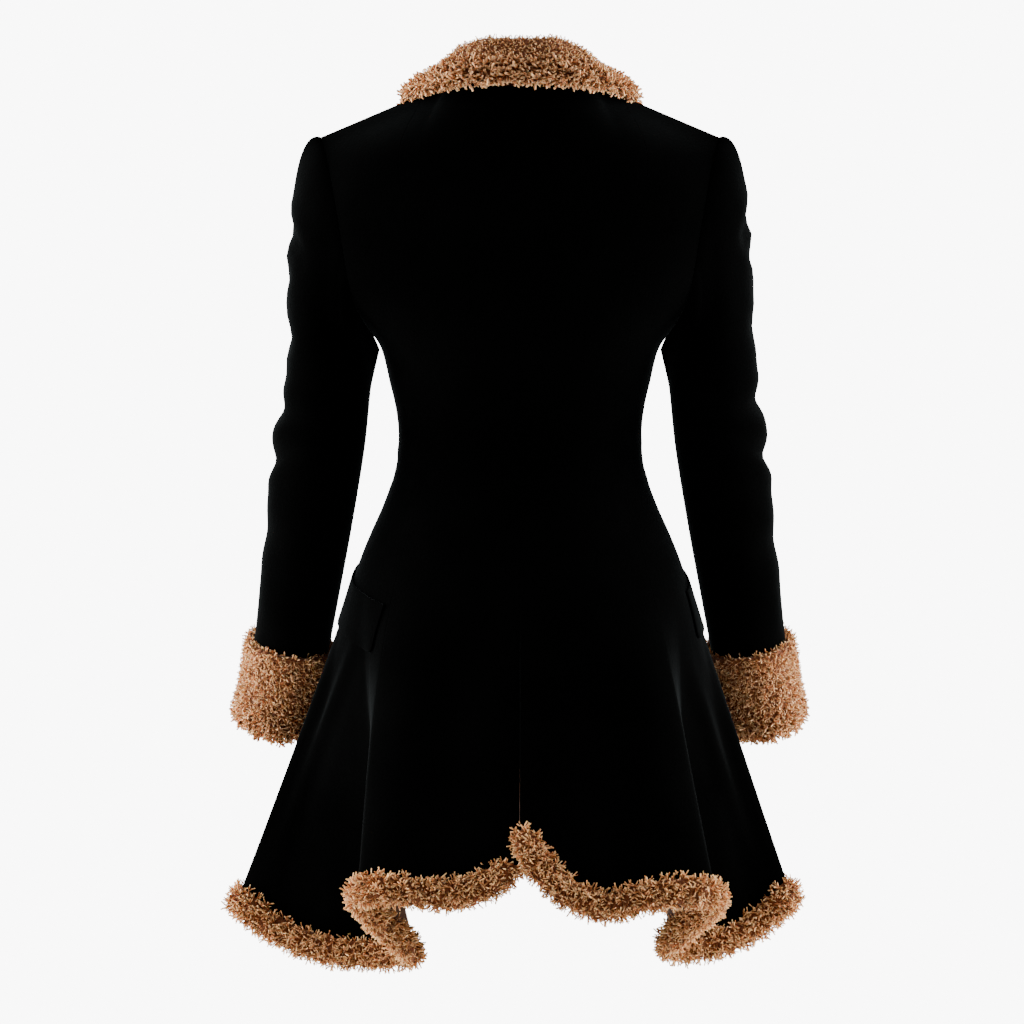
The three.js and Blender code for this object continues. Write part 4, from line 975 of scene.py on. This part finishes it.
# ---- locks of fur
def fur_tree():
    """Scatters tapered, curling locks over a surface. Each leans along the surface's own lie."""
    n = Nodes(bpy.data.node_groups.new("locks of fur", "GeometryNodeTree"))
    n.tree.is_modifier = True
    n.sockets("OUTPUT", "NodeSocketGeometry", "Geometry")
    n.sockets("INPUT", "NodeSocketGeometry", "Geometry")
    n.sockets("INPUT", "NodeSocketFloat", "Spacing", "Length", "Width", "Curl", "Lean", "Tangle", "Tufts")
    n.sockets("INPUT", "NodeSocketInt", "Seed")
    n.sockets("INPUT", "NodeSocketMaterial", "Material")
    given, result = n.add("NodeGroupInput").outputs, n.add("NodeGroupOutput").inputs

    def vector(operation, a, b):
        second = "Scale" if operation == "SCALE" else 1
        return n.add("ShaderNodeVectorMath", {0: a, second: b}, operation=operation).outputs[0]

    def named(name, kind="FLOAT"):
        return n.add("GeometryNodeInputNamedAttribute", {"Name": name}, data_type=kind).outputs["Attribute"]

    def stored(geometry, name, value, domain):
        inputs = {"Geometry": geometry, "Name": name, "Value": value}
        return n.add("GeometryNodeStoreNamedAttribute", inputs, data_type="FLOAT", domain=domain).outputs[0]

    def chance(low, high, seed_shift):
        inputs = {2: low, 3: high, "Seed": n.math("ADD", given["Seed"], seed_shift)}
        return n.add("FunctionNodeRandomValue", inputs, data_type="FLOAT").outputs[1]

    # One lock, a unit long: a line of three points that tapers and bends over as it rises
    line = n.add("GeometryNodeCurvePrimitiveLine", {"Start": (0, 0, 0), "End": (0, 0, 1)}).outputs[0]
    line = n.add("GeometryNodeResampleCurve", {"Curve": line, "Count": 3}).outputs[0]
    along = n.add("GeometryNodeSplineParameter").outputs["Factor"]
    line = stored(line, "tip", along, "POINT")
    taper = n.add("ShaderNodeFloatCurve", {"Value": along})
    points = taper.mapping.curves[0].points
    points[0].location, points[1].location = (0, 0.9), (1, 0.04)
    points.new(0.3, 1.0)
    points.new(0.65, 0.62)
    taper.mapping.update()
    line = n.add("GeometryNodeSetCurveRadius", {"Curve": line, "Radius": taper.outputs[0]}).outputs[0]
    bend = n.math("MULTIPLY", n.math("POWER", along, 1.8), given["Curl"])
    offset = n.add("ShaderNodeCombineXYZ", {"X": bend, "Z": n.math("MULTIPLY", bend, -0.35)}).outputs[0]
    line = n.add("GeometryNodeSetPosition", {"Geometry": line, "Offset": offset}).outputs[0]
    ring = n.add("GeometryNodeCurvePrimitiveCircle", {"Resolution": 3, "Radius": given["Width"]}).outputs[0]
    lock = n.add("GeometryNodeCurveToMesh", {"Curve": line, "Profile Curve": ring, "Fill Caps": False}).outputs[0]

    # Where the locks stand, and which way: outwards, along the lie, towards the middle of a tuft, and at random
    spots = n.add("GeometryNodeDistributePointsOnFaces", {
        "Mesh": given["Geometry"], "Distance Min": given["Spacing"], "Density Max": 400000.0,
        "Density Factor": named("grow"), "Seed": given["Seed"],
    }, distribute_method="POISSON").outputs
    place = n.add("GeometryNodeInputPosition").outputs[0]
    tuft = n.add("ShaderNodeTexVoronoi", {"Vector": place, "Scale": given["Tufts"]}).outputs["Position"]
    gather = vector("SCALE", vector("SUBTRACT", tuft, place), n.math("MULTIPLY", given["Tufts"], 2.2))
    drift = vector("SUBTRACT", n.noise(130.0, 1.0, place, "Color"), (0.5, 0.5, 0.5))
    jitter = n.add("FunctionNodeRandomValue", {"Min": (-0.5,) * 3, "Max": (0.5,) * 3, "Seed": given["Seed"]},
                   data_type="FLOAT_VECTOR").outputs[0]
    drift = vector("SCALE", drift, n.math("MULTIPLY", given["Tangle"], 3.0))
    jitter = vector("SCALE", jitter, n.math("MULTIPLY", given["Tangle"], 0.7))
    wander = vector("ADD", gather, vector("ADD", drift, jitter))
    lean = vector("SCALE", named("lie", "FLOAT_VECTOR"), given["Lean"])
    way = vector("ADD", vector("ADD", spots["Normal"], lean), wander)
    turn = n.add("FunctionNodeAlignRotationToVector", {"Vector": way}, axis="Z").outputs[0]
    spin = {"Axis": (0, 0, 1), "Angle": chance(0.0, 6.283, 7.0)}
    twist = n.add("FunctionNodeAxisAngleToRotation", spin).outputs[0]
    both = {"Rotation": turn, "Rotate By": twist}
    turn = n.add("FunctionNodeRotateRotation", both, rotation_space="LOCAL").outputs[0]

    # How long each lock is, and how light
    clump = n.math("ADD", n.math("MULTIPLY", n.noise(170.0, 1.0, place), 0.9), 0.55)
    vary = n.math("MULTIPLY", chance(0.75, 1.15, 13.0), clump)
    size = n.math("MULTIPLY", n.math("MULTIPLY", vary, given["Length"]), named("size"))
    scattered = n.add("GeometryNodeInstanceOnPoints", {
        "Points": spots["Points"], "Instance": lock, "Rotation": turn, "Scale": size}).outputs[0]
    scattered = stored(scattered, "shade", chance(0.0, 1.0, 29.0), "INSTANCE")
    scattered = n.add("GeometryNodeRealizeInstances", {"Geometry": scattered}).outputs[0]
    joined = n.add("GeometryNodeJoinGeometry")
    n.set(joined.inputs[0], scattered)
    n.set(joined.inputs[0], given["Geometry"])
    smooth = n.add("GeometryNodeSetShadeSmooth", {"Geometry": joined.outputs[0], "Shade Smooth": True}).outputs[0]
    whole = n.add("GeometryNodeRealizeInstances", {"Geometry": smooth}).outputs[0]
    covered = n.add("GeometryNodeSetMaterial", {"Geometry": whole, "Material": given["Material"]}).outputs[0]
    n.set(result[0], covered)
    return n.tree


FUR_TREE = fur_tree()
ROOT_SHADE = 0.3  # of the form under the locks


def furred(name, node, form, closed, locks, seed, cover):
    """A padded form covered with locks, as one plain mesh that stands for a node."""
    sections, lie, grow, size = form
    count = sections.shape[0] * sections.shape[1]
    # The form under the locks is at the root, so it takes the dark root colour: painted shade beneath the fur
    base = loft(name, sections, closed, {
        "lie": lie.reshape(-1, 3), "grow": grow.reshape(-1), "size": size.reshape(-1),
        "tip": np.zeros(count), "shade": np.full(count, ROOT_SHADE),
    })
    modifier = base.modifiers.new("fur", "NODES")
    modifier.node_group = FUR_TREE
    sockets = {item.name: item.identifier for item in FUR_TREE.interface.items_tree if item.in_out == "INPUT"}
    for key, value in {**locks, "Seed": seed, "Material": cover}.items():
        modifier[sockets[key]] = value
    mesh = bpy.data.meshes.new_from_object(base.evaluated_get(bpy.context.evaluated_depsgraph_get()))
    bpy.data.objects.remove(base)
    mesh.name = name
    pieces[node] = placed(name, mesh)


# Locks: metres apart and long, width and curl as shares of the length, and tufts a metre
HEM_LOCKS = {
    "Spacing": 0.00115, "Length": 0.0080, "Width": 0.08,
    "Curl": 0.7, "Lean": 1.1, "Tangle": 0.6, "Tufts": 150.0,
}
CUFF_LOCKS = {
    "Spacing": 0.00098, "Length": 0.0057, "Width": 0.105,
    "Curl": 0.8, "Lean": 0.8, "Tangle": 0.8, "Tufts": 230.0,
}
COLLAR_LOCKS = {**CUFF_LOCKS, "Spacing": 0.00134, "Length": 0.0058, "Width": 0.12}
# How far each form lies inside its solid: in millimetres, and for the cuffs as a share of the way to their core
HEM_SHRINK, COLLAR_SHRINK, CUFF_SHRINK = 5.6, 0.6, 0.9
HEM_SEED, CUFF_SEED, COLLAR_SEED = 3, 11, 21

for number, side in enumerate(halves):
    furred(f"fur_hem_{side}", f"hem_fur_{side}", hem_roll(side, HEM_SHRINK), False,
           HEM_LOCKS, HEM_SEED + number, HEM_FUR)
    furred(f"fur_cuff_{side}", f"cuff_{side}", cuff_ring(side, CUFF_SHRINK), True,
           CUFF_LOCKS, CUFF_SEED + number, TRIM_FUR)
furred("fur_collar", "collar", collar_strip(COLLAR_SHRINK), False, COLLAR_LOCKS, COLLAR_SEED, TRIM_FUR)

for node, piece in pieces.items():
    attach(piece, "root")
    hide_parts(node)

for node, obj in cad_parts.items():
    if node.startswith("button"):
        obj.data.materials.clear()
        obj.data.materials.append(HORN)
